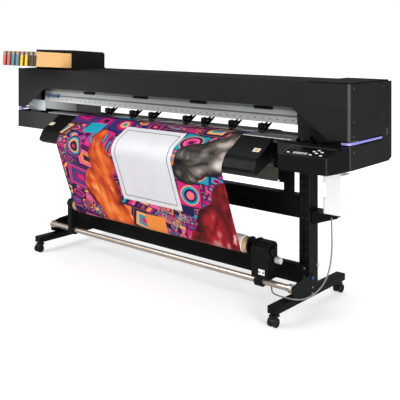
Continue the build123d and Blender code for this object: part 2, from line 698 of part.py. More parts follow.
def drive_belt():
    outer = extrude(SlotCenterToCenter(2 * PULLEY_X, 2 * PULLEY_R + 4.0), 5.0, both=True)
    inner = extrude(SlotCenterToCenter(2 * PULLEY_X, 2 * PULLEY_R + 0.8), 6.0, both=True)
    return Pos(0, BELT_Y, BELT_Z) * (outer - inner)


def belt_pulley(side):
    x = side * PULLEY_X
    wheel = rod_z(BELT_Z - 6.0, BELT_Z + 6.0, x, BELT_Y, PULLEY_R)
    lip = rod_z(BELT_Z + 6.0, BELT_Z + 8.0, x, BELT_Y, PULLEY_R + 2.0)
    return wheel + lip - rod_z(BELT_Z - 9, BELT_Z + 9, x, BELT_Y, 4.0 + RUNNING_FIT)


def pulley_mounts():
    pieces = []
    for side in (-1, 1):
        x = side * PULLEY_X
        plate = block(x - 26.0, x + 26.0, BELT_Y - 26.0, BELT_Y + 40.0, 1176.0, 1182.0)
        pin = rod_z(1181.0, 1206.0, x, BELT_Y, 4.0)
        pieces.append(plate + pin)
    return pieces


# ---- covers --------------------------------------------------------------
def corner_shell(side, inner_x, y_back, z0, z1):
    outer = block(inner_x, HALF_LENGTH, FRONT, y_back, z0, z1)
    outer = fillet(outer.edges().filter_by(Axis.Z).sort_by(Axis.Y)[:2].sort_by(Axis.X)[-1:], CORNER_R)
    inner = block(inner_x - 1, HALF_LENGTH - SHEET, FRONT + SHEET, y_back + 1, z0 - 1, z1 + 1)
    near = inner.edges().filter_by(Axis.Z).sort_by(Axis.Y)[:2].sort_by(Axis.X)[-1:]
    shell = outer - fillet(near, CORNER_R - SHEET)
    return shell if side > 0 else mirror(shell, Plane.YZ)


def side_panel(side):
    outline = [
        (FRONT + FASCIA_RETURN + GAP, BODY_BOTTOM),
        (BACK - 34.0, BODY_BOTTOM),
        (BACK - GAP, BODY_BOTTOM + 18.0),
        (BACK - GAP, BODY_TOP - 2.0),
        (FRONT + FASCIA_RETURN + GAP, BODY_TOP - 2.0),
    ]
    panel = plate_yz(outline, HALF_LENGTH - SHEET, HALF_LENGTH)
    panel = panel if side > 0 else mirror(panel, Plane.YZ)
    return panel


def slit_cut():
    reach = HALF_LENGTH + 2.0
    return block(-reach, reach, FRONT - 1.0, BACK - 105.0, SLIT_LOW, SLIT_HIGH)


def screw_spots():
    rows = []
    for back, height in ((43, 1248), (43, 1082), (43, 1010), (43, 931), (372, 1247), (372, 1092)):
        rows.append((FRONT + back, float(height)))
    return rows


def side_screw_holes():
    return [rod_x(-HALF_LENGTH - 1, HALF_LENGTH + 1, y, z, 4.0) for y, z in screw_spots()]


def end_cover(side):
    inner_x = 1365.0
    shell = corner_shell(side, 857.0, FRONT + FASCIA_RETURN + GAP + 1.0, BODY_BOTTOM, SEAM_Z - GAP)
    if side < 0:
        keep = [
            (-HALF_LENGTH - 1, BODY_BOTTOM - 1),
            (OPENING_TOP_LEFT, BODY_BOTTOM - 1),
            (APRON_LEFT - 6.0, SLIT_LOW),
            (OPENING_BOTTOM_LEFT, SLIT_HIGH - 13.0),
            (OPENING_BOTTOM_LEFT, SLIT_HIGH),
            (OPENING_TOP_LEFT, SEAM_Z),
            (-HALF_LENGTH - 1, SEAM_Z),
        ]
    else:
        keep = [
            (HALF_LENGTH + 1, BODY_BOTTOM - 1),
            (inner_x, BODY_BOTTOM - 1),
            (inner_x, SLIT_HIGH),
            (OPENING_BOTTOM_RIGHT, SLIT_HIGH),
            (OPENING_TOP_RIGHT, SEAM_Z),
            (HALF_LENGTH + 1, SEAM_Z),
        ]
    shell = shell & plate_xz(keep, FRONT - 10.0, FRONT + 60.0)
    cover = shell + side_panel(side)
    floor_x0 = 1062.0
    floor_x1 = HALF_LENGTH - SHEET + 0.5
    floor = block(floor_x0, floor_x1, FRONT + SHEET, BACK - 40.0, BODY_BOTTOM, BODY_BOTTOM + 2)
    if side < 0:
        floor = mirror(floor, Plane.YZ)
    else:
        floor -= block(1040.0, 1366.0, FRONT, FRONT + 4.0, 840.0, 846.0)
    cover += floor
    cover -= slit_cut()
    cover -= side_screw_holes()
    if side > 0:
        bay_wall = block(1036.0, 1112.0, RAIL_FRONT + 4.0, RAIL_FRONT + 6.0, 966.0, 1128.0)
        back_wall = block(1040.0, HALF_LENGTH - 9.0, RAIL_BACK + 2.0, RAIL_BACK + 4.0, 966.0, 1127.0)
        skirt = block(1066.0, HALF_LENGTH - 9.0, RAIL_BACK + 2.0, RAIL_BACK + 4.0, BODY_BOTTOM + 2.5, 965.0)
        return [cover, bay_wall, back_wall, skirt]
    bay_wall = block(-1340.0, RAIL_LEFT - 2.0, RAIL_FRONT + 4.0, RAIL_FRONT + 6.0, 966.0, 1041.0)
    under_rail = block(RAIL_LEFT + 2, -535.0, RAIL_FRONT + 4.0, RAIL_FRONT + 6.0, 984.0, 1038.0)
    return [cover, bay_wall, under_rail]


def front_fascia():
    right = corner_shell(1, 0.0, FRONT + FASCIA_RETURN, SEAM_Z, BODY_TOP)
    left = corner_shell(-1, 0.0, FRONT + FASCIA_RETURN, SEAM_Z, BODY_TOP)
    lip = block(OPENING_TOP_LEFT, OPENING_TOP_RIGHT, FRONT + SHEET - 1, FRONT + 8.0, SEAM_Z, SEAM_Z + 3.0)
    return right + left + lip


def top_cover():
    inset = SHEET + 1.0
    plate = block(-HALF_LENGTH + inset, HALF_LENGTH - inset, FRONT + inset, BACK - inset, 1268.0, 1271.0)
    front = plate.edges().filter_by(Axis.Z).sort_by(Axis.Y)[:2]
    plate = fillet(front, CORNER_R - inset)
    rim = block(-860.0, 1120.0, FRONT + 60.0, BACK - 40.0, 1270.5, 1273.0)
    return plate + rim


def service_lid():
    lid = block(1130.0, HALF_LENGTH - 6.0, FRONT + 30.0, BACK - 20.0, 1271.6, 1279.0)
    return fillet(lid.edges().filter_by(Axis.Z), 8.0)


def rear_cover():
    upper = block(-HALF_LENGTH + 4, HALF_LENGTH - 4, BACK - SHEET, BACK, 1014.0, 1267.0)
    left = block(-HALF_LENGTH + 4, -1060.0, BACK - SHEET, BACK, 862.0, 1015.0)
    right = block(1060.0, HALF_LENGTH - 4, BACK - SHEET, BACK, 862.0, 1015.0)
    vents = []
    for column in range(8):
        for row in range(6):
            x = 1110.0 + column * 22.0
            z = 1090.0 + row * 14.0
            vents.append(block(x, x + 14.0, BACK - 4.0, BACK + 1.0, z, z + 5.0))
    inlet = block(1140.0, 1190.0, BACK - 4.0, BACK + 1.0, 900.0, 934.0)
    socket = block(1140.3, 1189.7, BACK - 20.0, BACK - 0.5, 900.3, 933.7)
    socket -= block(1152.0, 1178.0, BACK - 14.0, BACK + 1.0, 907.0, 927.0)
    return [upper + left + right - vents - inlet, socket]


def led_strip(side):
    shell = corner_shell(1, 1300.0, BACK - 106.0, 969.0, 981.0)
    inset = 2.0
    strip = Pos(-inset, inset, 0) * shell
    first_x = 1338.0 if side > 0 else 1302.0
    strip &= block(first_x, HALF_LENGTH, FRONT, BACK - 106.0, 960.0, 990.0)
    return strip if side > 0 else mirror(strip, Plane.YZ)


# ---- operator console ----------------------------------------------------
def console():
    outline = [
        (975.0, FRONT - 2.0),
        (985.0, FRONT - 46.0),
        (CONSOLE_LEFT, CONSOLE_FRONT),
        (1362.0, CONSOLE_FRONT),
        (HALF_LENGTH, FRONT - 2.0),
    ]
    shell = plate_xy(outline, BODY_BOTTOM + 1.0, 962.0)
    shell = fillet(shell.edges().filter_by(Axis.Z).sort_by(Axis.Y)[:2], 12.0)
    slope_cut = [
        (CONSOLE_FRONT - 5.0, 921.5),
        (FRONT - 49.0, 959.0),
        (FRONT - 49.0, 1000.0),
        (CONSOLE_FRONT - 5.0, 1000.0),
    ]
    shell -= plate_yz(slope_cut, 960.0, 1400.0)
    shell -= block(1000.0, 1360.0, FRONT - 130.0, FRONT - 8.0, 850.0, 900.0)
    shell -= panel_frame() * Box(PANEL_SIZE[0] + 0.4, PANEL_SIZE[1] + 0.4, 12.0)
    return shell


def panel_frame():
    x, y = PANEL_CENTRE
    along = y - (CONSOLE_FRONT + 8.0)
    z = 924.0 + along * math.tan(math.radians(CONSOLE_SLOPE))
    return Pos(x, y, z) * Rot(CONSOLE_SLOPE, 0, 0)


def key_spots():
    return {
        "power_key": [(-103.0, -34.0)],
        "function_keys": [(-78.0 + step * 24.0, -6.0) for step in range(4)],
        "enter_key": [(84.0, -34.0)],
        "jog_keys": [(46.0, 20.0), (26.0, 3.0), (72.0, 3.0), (48.0, -13.0), (26.0, -36.0)],
    }


def key_panel():
    width, depth = PANEL_SIZE
    board = Pos(0, 0, -3.0) * Box(width, depth, 5.0)
    board += Pos(-35.0, -32.0, -0.3) * Box(84.0, 24.0, 1.0)
    board += Pos(0, depth / 2 - 4.0, -0.2) * Box(width, 5.0, 1.4)
    board += Pos(-width / 2 + 4.0, 0, -0.2) * Box(5.0, depth, 1.4)
    for spots in key_spots().values():
        for x, y in spots:
            board -= Pos(x, y, 0) * Box(KEY_SIZE[0] + 0.8, KEY_SIZE[1] + 0.8, 20.0)
    return panel_frame() * board


def key_cap(spots):
    caps = []
    for x, y in spots:
        cap = Pos(x, y, -1.9) * Box(KEY_SIZE[0], KEY_SIZE[1], 6.0)
        caps.append(panel_frame() * fillet(cap.edges().filter_by(Axis.Z), 4.0))
    return caps


# ---- ink and waste -------------------------------------------------------
def station_frame():
    return Pos(STATION_LEFT, STATION_FRONT, STATION_FLOOR) * Rot(-STATION_TILT, 0, 0)


def ink_station():
    right = STATION_LEFT + STATION_WIDTH
    back = STATION_FRONT + STATION_DEPTH
    drop = STATION_DEPTH * math.tan(math.radians(STATION_TILT))
    outline = [
        (STATION_FRONT, 1272.0),
        (STATION_FRONT, STATION_TOP),
        (back - 14.0, STATION_TOP - drop),
        (back, STATION_TOP - drop - 14.0),
        (back, 1272.0),
    ]
    case = plate_yz(outline, STATION_LEFT, right)
    case += block(STATION_LEFT - 3, right + 3, STATION_FRONT + 8, back + 3, 1272.0, 1279.0)
    for bay in range(BAY_COUNT):
        x = (bay + 0.5) * BAY_PITCH
        pocket = Box(CARTON_WIDTH + 3, 2 * CARTON_INSERTED + 6, CARTON_HEIGHT + 4)
        case -= station_frame() * Pos(x, 0, CARTON_HEIGHT / 2 + 2) * pocket
    case -= block(STATION_LEFT + 4, right - 4, STATION_FRONT + 112, back - 4, 1276.0, 1380.0)
    return case


def ink_carton(bay):
    length = CARTON_PROUD + CARTON_INSERTED
    x = (bay + 0.5) * BAY_PITCH
    y = length / 2 - CARTON_PROUD
    carton = Pos(x, y, 1.0 + CARTON_HEIGHT / 2) * Box(CARTON_WIDTH, length, CARTON_HEIGHT)
    return station_frame() * fillet(carton.edges().filter_by(Axis.Y), 1.5)


def waste_bottle():
    bottle = block(BOTTLE_LEFT, BOTTLE_RIGHT, LEG_FRONT - 12.0, LEG_BACK - 10.0, 555.5, 772.0)
    bottle = fillet(bottle.edges().filter_by(Axis.Z), 16.0)
    grip = block(BOTTLE_LEFT - 10, BOTTLE_LEFT + 22, LEG_FRONT - 20.0, LEG_BACK, 640.0, 722.0)
    bottle -= fillet(grip.edges().filter_by(Axis.Y), 8.0)
    centre = (BOTTLE_LEFT + BOTTLE_RIGHT) / 2
    neck = rod_z(771.0, 812.0, centre, (LEG_FRONT + LEG_BACK) / 2 - 11, 28.0)
    return bottle + neck


# ---- cable and fasteners -------------------------------------------------
CABLE_R = 4.0
CABLE_ROUTE = [
    (1160.0, FRONT + 215.0, 537.0),
    (1160.0, FRONT + 215.0, 487.0),
    (1165.0, FRONT + 212.0, 402.0),
    (1163.0, FRONT + 207.0, 315.0),
    (1150.0, FRONT + 197.0, 232.0),
    (1127.0, FRONT + 172.0, 168.0),
    (1098.0, FRONT + 126.0, 128.0),
    (1072.0, FRONT + 72.0, 114.0),
    (1046.0, FRONT + 26.0, 121.0),
    (1002.0, FRONT + 6.0, 126.0),
    (948.0, FRONT + 8.0, 126.0),
    (905.0, FRONT + 28.0, 123.0),
    (874.0, FRONT + 62.0, 129.0),
    (859.0, FRONT + 86.0, 155.0),
    (857.0, FRONT + 91.0, 188.0),
]


def cable_radii(route):
    radii = []
    for before, corner, after in zip(route, route[1:], route[2:]):
        arriving = Vector(*corner) - Vector(*before)
        leaving = Vector(*after) - Vector(*corner)
        half_turn = math.radians(arriving.get_angle(leaving) / 2)
        shorter = min(arriving.length, leaving.length)
        radii.append(0.45 * shorter / math.tan(half_turn))
    return radii


def signal_cable():
    radii = cable_radii(CABLE_ROUTE)
    print("cable radii", [round(r) for r in radii])
    path = FilletPolyline(*CABLE_ROUTE, radius=radii)
    start = Plane(origin=path @ 0, z_dir=path % 0)
    tube = sweep(start * Circle(CABLE_R), path)
    section = math.pi * CABLE_R**2
    print("cable length", round(path.length), "volume ratio", round(tube.volume / (section * path.length), 4))
    return tube


def unit_gland():
    end = Vector(*CABLE_ROUTE[-1])
    heading = end - Vector(*CABLE_ROUTE[-2])
    return Plane(origin=end, z_dir=heading) * Pos(0, 0, 5.0) * Cylinder(9.0, 10.0)


def bracket_gland():
    x, y, z = CABLE_ROUTE[0]
    return rod_z(z, 549.0, x, y, 9.0)


def screws():
    heads = []
    for y, z in screw_spots():
        for side in (-1, 1):
            flush = HALF_LENGTH - 0.6
            near = side * (flush - 4.0)
            far = side * flush
            heads.append(rod_x(min(near, far), max(near, far), y, z, 3.9))
    for side in (-1, 1):
        for z in (192.0, 240.0):
            heads.append(rod_y(LEG_FRONT - 33.0, LEG_FRONT - 30.0, side * 1010.0, z, 5.0))
        near = side * (LEG_OUTER + 6.0)
        far = side * (LEG_OUTER + 10.0)
        for z in (95.0, 128.0, 180.0):
            heads.append(rod_x(min(near, far), max(near, far), LEG_FRONT + 19.0, z, 6.0))
    return heads


# ---- write every piece ---------------------------------------------------
save("feet", foot(-1), foot(1))
save("legs", leg(-1), leg(1))
save("upper_beam", upper_beam())
save("lower_beam", lower_beam())
save("stand_plates", *stand_plates(), bracket_gland())
save("guide_tube", guide_tube(), tube_collar(-1), tube_collar(1))
save("screws", *screws())
for corner_name, (corner_x, corner_y, trail_side) in caster_spots().items():
    save(f"caster_fork_{corner_name}", caster_fork(corner_x, corner_y, trail_side))
    save(f"caster_wheels_{corner_name}", caster_wheels(corner_x, corner_y, trail_side))
save("takeup_housing", takeup_housing())
save("takeup_switch", takeup_switch())
save("takeup_flange", takeup_flange())
save("takeup_core", takeup_core())
save("takeup_roll", takeup_roll())
save("core_holder_left", core_holder_left())
save("core_flange_left", core_flange_left())
save("media_web", media_web())
save("supply_roll", supply_roll())
save("supply_shaft", supply_shaft())
save("base_frame", base_frame())
save("platen", platen())
save("front_apron", front_apron())
save("rear_guide", rear_guide())
save("grit_roller", grit_roller())
save("feed_motor", feed_motor())
save("rail_beam", *rail_beam(), *pulley_mounts())
save("pinch_bar", pinch_bar())
save("pinch_wheels", *pinch_wheels())
save("clamp_lever", clamp_lever())
save("carriage", carriage())
save("cutter_holder", cutter_holder())
save("drive_belt", drive_belt())
save("drive_pulley", belt_pulley(1))
save("idler_pulley", belt_pulley(-1))
save("end_cover_left", *end_cover(-1))
save("end_cover_right", *end_cover(1))
save("front_fascia", front_fascia())
save("top_cover", top_cover())
save("service_lid", service_lid())
save("rear_cover", *rear_cover())
save("led_strips", led_strip(-1), led_strip(1))
save("console", console())
save("key_panel", key_panel())
for key_name, spots in key_spots().items():
    save(key_name, *key_cap(spots))
save("ink_station", ink_station())
for pair, colour in enumerate(("magenta", "cyan", "yellow", "black")):
    save(f"ink_cartons_{colour}", ink_carton(2 * pair), ink_carton(2 * pair + 1))
save("waste_bottle", waste_bottle())
save("signal_cable", signal_cable())
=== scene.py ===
import json
import math

import bmesh
import bpy
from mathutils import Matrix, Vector


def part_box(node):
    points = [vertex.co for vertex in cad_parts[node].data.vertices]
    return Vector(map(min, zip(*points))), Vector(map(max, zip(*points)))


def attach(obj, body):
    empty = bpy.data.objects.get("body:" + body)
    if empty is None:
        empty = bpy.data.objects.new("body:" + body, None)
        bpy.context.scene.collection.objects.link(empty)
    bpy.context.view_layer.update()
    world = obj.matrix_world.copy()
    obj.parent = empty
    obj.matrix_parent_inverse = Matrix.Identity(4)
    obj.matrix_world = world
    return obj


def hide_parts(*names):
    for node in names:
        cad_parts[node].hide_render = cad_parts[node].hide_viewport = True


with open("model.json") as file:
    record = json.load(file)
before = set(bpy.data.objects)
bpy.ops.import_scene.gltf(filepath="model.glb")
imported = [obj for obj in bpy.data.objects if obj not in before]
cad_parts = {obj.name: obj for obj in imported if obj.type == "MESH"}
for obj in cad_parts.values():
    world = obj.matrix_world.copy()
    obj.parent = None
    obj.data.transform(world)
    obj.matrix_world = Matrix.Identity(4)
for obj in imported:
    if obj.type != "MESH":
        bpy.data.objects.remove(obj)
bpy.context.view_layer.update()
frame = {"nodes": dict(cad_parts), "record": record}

NODES = frame["nodes"]

# ---- places taken from the frame ------------------------------------------
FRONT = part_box("front_fascia")[0][1]
PLATEN_LOW, PLATEN_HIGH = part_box("platen")
PLATEN_TOP = PLATEN_HIGH[2]
RAIL_LOW, RAIL_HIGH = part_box("rail_beam")
RAIL_FRONT = RAIL_LOW[1] + 0.010
RULER_LOW = PLATEN_TOP + 0.071
RULER_HIGH = RULER_LOW + 0.030
CROWN_Z = RULER_LOW + 0.089
WEB_LOW, WEB_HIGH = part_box("media_web")
APRON_LOW, APRON_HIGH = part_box("front_apron")
ROLL_LOW, ROLL_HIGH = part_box("takeup_roll")
CORE_Y = (ROLL_LOW[1] + ROLL_HIGH[1]) / 2
CORE_Z = (ROLL_LOW[2] + ROLL_HIGH[2]) / 2
ROLL_R = (ROLL_HIGH[2] - ROLL_LOW[2]) / 2
SUPPLY_Z = (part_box("supply_roll")[0][2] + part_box("supply_roll")[1][2]) / 2
# Height of the skirt's zinc-grey strip; above it the skirt is painted black as painted shade.
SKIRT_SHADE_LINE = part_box("base_frame")[0][2] + 0.081
RAIL_LEFT = -1.1405
PINCH_LEFT = -0.668
BAY_PANEL_END = RAIL_LEFT + 0.74 * (PINCH_LEFT - RAIL_LEFT)

# ---- camera ----------------------------------------------------------------
SENSOR = 36.0
CAMERA_BEHIND = 3.17615
CAMERA_RIGHT = 3.13318
CAMERA_HEIGHT = 1.51973
CAMERA_TURN = 40.59
FOCAL = 64.56
SHIFT_DOWN = -0.4128

camera_data = bpy.data.cameras.new("camera")
camera_data.sensor_width = SENSOR
camera_data.lens = FOCAL
camera_data.shift_y = SHIFT_DOWN
camera_data.clip_end = 100.0
camera = bpy.data.objects.new("camera", camera_data)
camera.location = (CAMERA_RIGHT, FRONT - CAMERA_BEHIND, CAMERA_HEIGHT)
camera.rotation_euler = (math.radians(90), 0, math.radians(CAMERA_TURN))
bpy.context.scene.collection.objects.link(camera)
bpy.context.scene.camera = camera
bpy.context.scene.view_settings.view_transform = "Standard"


# ---- small mesh tools ------------------------------------------------------
def link(name, data, material=None, body="root"):
    piece = bpy.data.objects.new(name, data)
    bpy.context.scene.collection.objects.link(piece)
    if material is not None:
        data.materials.append(material)
    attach(piece, body)
    return piece


def smooth(mesh):
    for face in mesh.polygons:
        face.use_smooth = True


def add_box(bm, low, high, bevel=0.0, segments=2):
    made = bmesh.ops.create_cube(bm, size=1.0)["verts"]
    for vert in made:
        for axis in range(3):
            middle = (low[axis] + high[axis]) / 2
            vert.co[axis] = middle + vert.co[axis] * (high[axis] - low[axis])
    if bevel > 0:
        edges = list({edge for vert in made for edge in vert.link_edges})
        bmesh.ops.bevel(bm, geom=edges, offset=bevel, segments=segments, affect="EDGES", profile=0.7)


def add_disc(bm, centre, axis, radius, depth, bevel=0.0, sides=32):
    turn = Vector((0, 0, 1)).rotation_difference(Vector(axis)).to_matrix().to_4x4()
    turn.translation = Vector(centre)
    made = bmesh.ops.create_cone(
        bm, cap_ends=True, segments=sides, radius1=radius, radius2=radius, depth=depth, matrix=turn
    )["verts"]
    if bevel > 0:
        rims = [edge for edge in {e for v in made for e in v.link_edges} if len(edge.link_faces) == 2]
        rims = [edge for edge in rims if edge.calc_face_angle() > 1.0]
        bmesh.ops.bevel(bm, geom=rims, offset=bevel, segments=2, affect="EDGES", profile=0.7)


def finish_mesh(name, bm, material, body="root", shade=True):
    bmesh.ops.recalc_face_normals(bm, faces=bm.faces)
    mesh = bpy.data.meshes.new(name)
    bm.to_mesh(mesh)
    bm.free()
    if shade:
        smooth(mesh)
        mesh.set_sharp_from_angle(angle=math.radians(40))
    return link(name, mesh, material, body)


# ---- material tools --------------------------------------------------------
GLOSS_SPREAD = 0.08


class Tree:
    """A node tree with short calls for the nodes that the materials share."""

    def __init__(self, name):
        self.material = bpy.data.materials.new(name)
        self.material.use_nodes = True
        self.nodes = self.material.node_tree.nodes
        self.links = self.material.node_tree.links
        self.shader = self.nodes["Principled BSDF"]
        self.place = self.nodes.new("ShaderNodeTexCoord").outputs["Object"]

    def join(self, source, target):
        self.links.new(source, target)

    def put(self, value, socket):
        if isinstance(value, bpy.types.NodeSocket):
            self.join(value, socket)
        elif isinstance(value, (tuple, list)) and len(value) == 3 and socket.type == "RGBA":
            socket.default_value = (*value, 1.0)
        else:
            socket.default_value = value

    def maths(self, kind, a, b=0.0, c=0.0):
        node = self.nodes.new("ShaderNodeMath")
        node.operation = kind
        for value, socket in zip((a, b, c), node.inputs):
            self.put(value, socket)
        return node.outputs[0]

    def times(self, a, b):
        return self.maths("MULTIPLY", a, b)

    def plus(self, a, b):
        return self.maths("ADD", a, b)

    def minus(self, a, b):
        return self.maths("SUBTRACT", a, b)

    def below(self, a, b):
        return self.maths("LESS_THAN", a, b)

    def above(self, a, b):
        return self.maths("GREATER_THAN", a, b)

    def squares(self, x, y):
        return self.plus(self.times(x, x), self.times(y, y))

    def dashes(self, value, pitch, share):
        """1 over the first share of every pitch, and 0 over the rest."""
        return self.below(self.maths("FRACT", self.times(value, 1 / pitch)), share)

    def split(self, vector):
        node = self.nodes.new("ShaderNodeSeparateXYZ")
        self.join(vector, node.inputs[0])
        return node.outputs[0], node.outputs[1], node.outputs[2]

    def gather(self, x, y, z):
        node = self.nodes.new("ShaderNodeCombineXYZ")
        for value, socket in zip((x, y, z), node.inputs):
            self.put(value, socket)
        return node.outputs[0]

    def stretch(self, vector, scale):
        node = self.nodes.new("ShaderNodeMapping")
        node.inputs["Scale"].default_value = scale
        self.join(vector, node.inputs["Vector"])
        return node.outputs[0]

    def noise(self, scale, detail=3.0, vector=None, roughness=0.5):
        node = self.nodes.new("ShaderNodeTexNoise")
        node.inputs["Scale"].default_value = scale
        node.inputs["Detail"].default_value = detail
        node.inputs["Roughness"].default_value = roughness
        self.join(vector or self.place, node.inputs["Vector"])
        return node.outputs["Fac"]

    def remap(self, value, low, high, out_low, out_high):
        node = self.nodes.new("ShaderNodeMapRange")
        self.join(value, node.inputs["Value"])
        names = ("From Min", "From Max", "To Min", "To Max")
        for name, number in zip(names, (low, high, out_low, out_high)):
            node.inputs[name].default_value = number
        return node.outputs["Result"]

    def ramp(self, value, stops, interpolation="LINEAR"):
        node = self.nodes.new("ShaderNodeValToRGB")
        node.color_ramp.interpolation = interpolation
        elements = node.color_ramp.elements
        while len(elements) < len(stops):
            elements.new(0.5)
        for element, (position, colour) in zip(elements, stops):
            element.position = position
            element.color = (*colour, 1.0)
        self.join(value, node.inputs["Fac"])
        return node.outputs["Color"]

    def blend(self, amount, a, b):
        node = self.nodes.new("ShaderNodeMix")
        node.data_type = "RGBA"
        self.put(amount, node.inputs[0])
        self.put(a, node.inputs[6])
        self.put(b, node.inputs[7])
        return node.outputs[2]

    def bump(self, height, strength, distance=0.001):
        node = self.nodes.new("ShaderNodeBump")
        node.inputs["Strength"].default_value = strength
        node.inputs["Distance"].default_value = distance
        self.join(height, node.inputs["Height"])
        self.join(node.outputs["Normal"], self.shader.inputs["Normal"])

    def chance(self, vector):
        """Three random draws between 0 and 1, the same for the same vector."""
        node = self.nodes.new("ShaderNodeTexWhiteNoise")
        self.join(vector, node.inputs["Vector"])
        return self.split(node.outputs["Color"])

    def over(self, mask, colour):
        """Lay one more colour over the base colour where the mask is 1."""
        under = self.shader.inputs["Base Color"].links[0].from_socket
        self.join(self.blend(mask, under, colour), self.shader.inputs["Base Color"])

    def within(self, value, centre, half):
        return self.below(self.maths("ABSOLUTE", self.minus(value, centre)), half)

    def between(self, value, low, high):
        return self.within(value, (low + high) / 2, (high - low) / 2)

    def box_mask(self, x, y, centre, half):
        return self.times(self.within(x, centre[0], half[0]), self.within(y, centre[1], half[1]))


def surface(name, dark, light, roughness, grain=900.0, bump=0.15, patch=3.0, specular=0.5):
    """A surface whose tone drifts slowly, with a fine grain in its gloss and its bump."""
    tree = Tree(name)
    colour = tree.blend(tree.remap(tree.noise(patch, 4.0), 0.3, 0.7, 0.0, 1.0), dark, light)
    tree.join(colour, tree.shader.inputs["Base Color"])
    fine = tree.noise(grain, 2.0)
    wear = tree.noise(patch * 7.0, 5.0, roughness=0.6)
    mixed = tree.plus(tree.times(fine, 0.5), tree.times(wear, 0.5))
    finish = tree.remap(mixed, 0.3, 0.7, roughness - GLOSS_SPREAD, roughness + GLOSS_SPREAD)
    tree.join(finish, tree.shader.inputs["Roughness"])
    tree.shader.inputs["Specular IOR Level"].default_value = specular
    tree.bump(fine, bump, 0.0004)
    return tree


def brushed(name, dark, light, roughness, metallic, strength=0.12):
    """Metal with fine brush lines along X."""
    tree = Tree(name)
    lines = tree.noise(1.0, 4.0, tree.stretch(tree.place, (3.0, 500.0, 500.0)))
    patches = tree.noise(5.0, 4.0)
    shade = tree.plus(tree.times(lines, 0.6), tree.times(patches, 0.4))
    colour = tree.blend(tree.remap(shade, 0.35, 0.65, 0.0, 1.0), dark, light)
    tree.join(colour, tree.shader.inputs["Base Color"])
    finish = tree.remap(lines, 0.3, 0.7, roughness - GLOSS_SPREAD, roughness + 0.1)
    tree.join(finish, tree.shader.inputs["Roughness"])
    tree.shader.inputs["Metallic"].default_value = metallic
    tree.bump(lines, strength, 0.0003)
    return tree


# ---- materials -------------------------------------------------------------
HOUSING = (
    (0.0045, 0.0044, 0.0042), (0.0068, 0.0066, 0.0063), 0.46,
    {"grain": 1500.0, "bump": 0.22, "specular": 0.26}
)
TOP = (0.0018, 0.0032, 0.62, {"grain": 1500.0, "bump": 0.25, "specular": 0.10})
BLACK_STEEL = (0.0015, 0.0030, 0.42, {"specular": 0.14})

# Each row: the dark tone, the light tone, the roughness, and what differs from the usual surface.
PAINTS = {
    "black_steel": BLACK_STEEL,
    "black_plastic": (0.0018, 0.0036, 0.40, {"specular": 0.14}),
    "media_white": ((0.80, 0.80, 0.79), (0.87, 0.87, 0.86), 0.35, {"bump": 0.03}),
    "apron_black": (
        (0.0025, 0.0025, 0.0023), (0.0045, 0.0045, 0.004), 0.42, {"bump": 0.1, "specular": 0.09}
    ),
    "black_rubber": (0.006, 0.012, 0.7, {"bump": 0.3, "specular": 0.25}),
    "blue_plastic": ((0.006, 0.045, 0.13), (0.01, 0.07, 0.19), 0.4, {}),
    "housing_black": HOUSING,
    "console_grey": (
        (0.0022, 0.0022, 0.0023), (0.0038, 0.0038, 0.0040), 0.44,
        {"grain": 1500.0, "bump": 0.25, "specular": 0.14}
    ),
    "panel_black": (
        (0.0012, 0.0012, 0.0014), (0.002, 0.002, 0.0024), 0.22, {"bump": 0.04, "specular": 0.18}
    ),
    "key_white": ((0.70, 0.71, 0.72), (0.82, 0.83, 0.84), 0.4, {"bump": 0.1}),
    "cable_grey": ((0.10, 0.10, 0.10), (0.16, 0.16, 0.165), 0.5, {"bump": 0.2}),
    "caster_plastic": (0.003, 0.006, 0.38, {"specular": 0.35}),
    "marker_blue": ((0.01, 0.06, 0.32), (0.015, 0.09, 0.42), 0.4, {}),
    "marker_red": ((0.50, 0.015, 0.015), (0.62, 0.02, 0.02), 0.4, {}),
    "slot_grey": ((0.022, 0.022, 0.020), (0.032, 0.032, 0.030), 0.5, {}),
    "trim_grey": (0.040, 0.055, 0.4, {}),
    "label_white": ((0.72, 0.72, 0.70), (0.80, 0.80, 0.78), 0.5, {"bump": 0.05}),
    "label_yellow": ((0.78, 0.50, 0.04), (0.85, 0.58, 0.06), 0.5, {"bump": 0.05}),
    "display_glass": ((0.42, 0.45, 0.45), (0.62, 0.65, 0.64), 0.25, {"patch": 40.0}),
}

# Each row: the dark tone, the light tone, the roughness, and how metallic it is.
METALS = {
    "zinc_steel": ((0.20, 0.20, 0.17), (0.30, 0.30, 0.26), 0.5, {"metallic": 0.5}),
    "platen_grey": ((0.33, 0.34, 0.35), (0.46, 0.47, 0.48), 0.4, {"metallic": 0.6}),
    "tube_steel": ((0.50, 0.42, 0.35), (0.60, 0.52, 0.45), 0.30, {"metallic": 0.75, "strength": 0.004}),
    "steel_white": ((0.50, 0.51, 0.51), (0.66, 0.67, 0.67), 0.35, {"metallic": 0.3}),
}

CARTON_LABELS = {
    "carton_magenta": (0.75, 0.12, 0.16),
    "carton_cyan": (0.03, 0.28, 0.50),
    "carton_yellow": (0.90, 0.62, 0.02),
    "carton_black": (0.03, 0.03, 0.035),
}


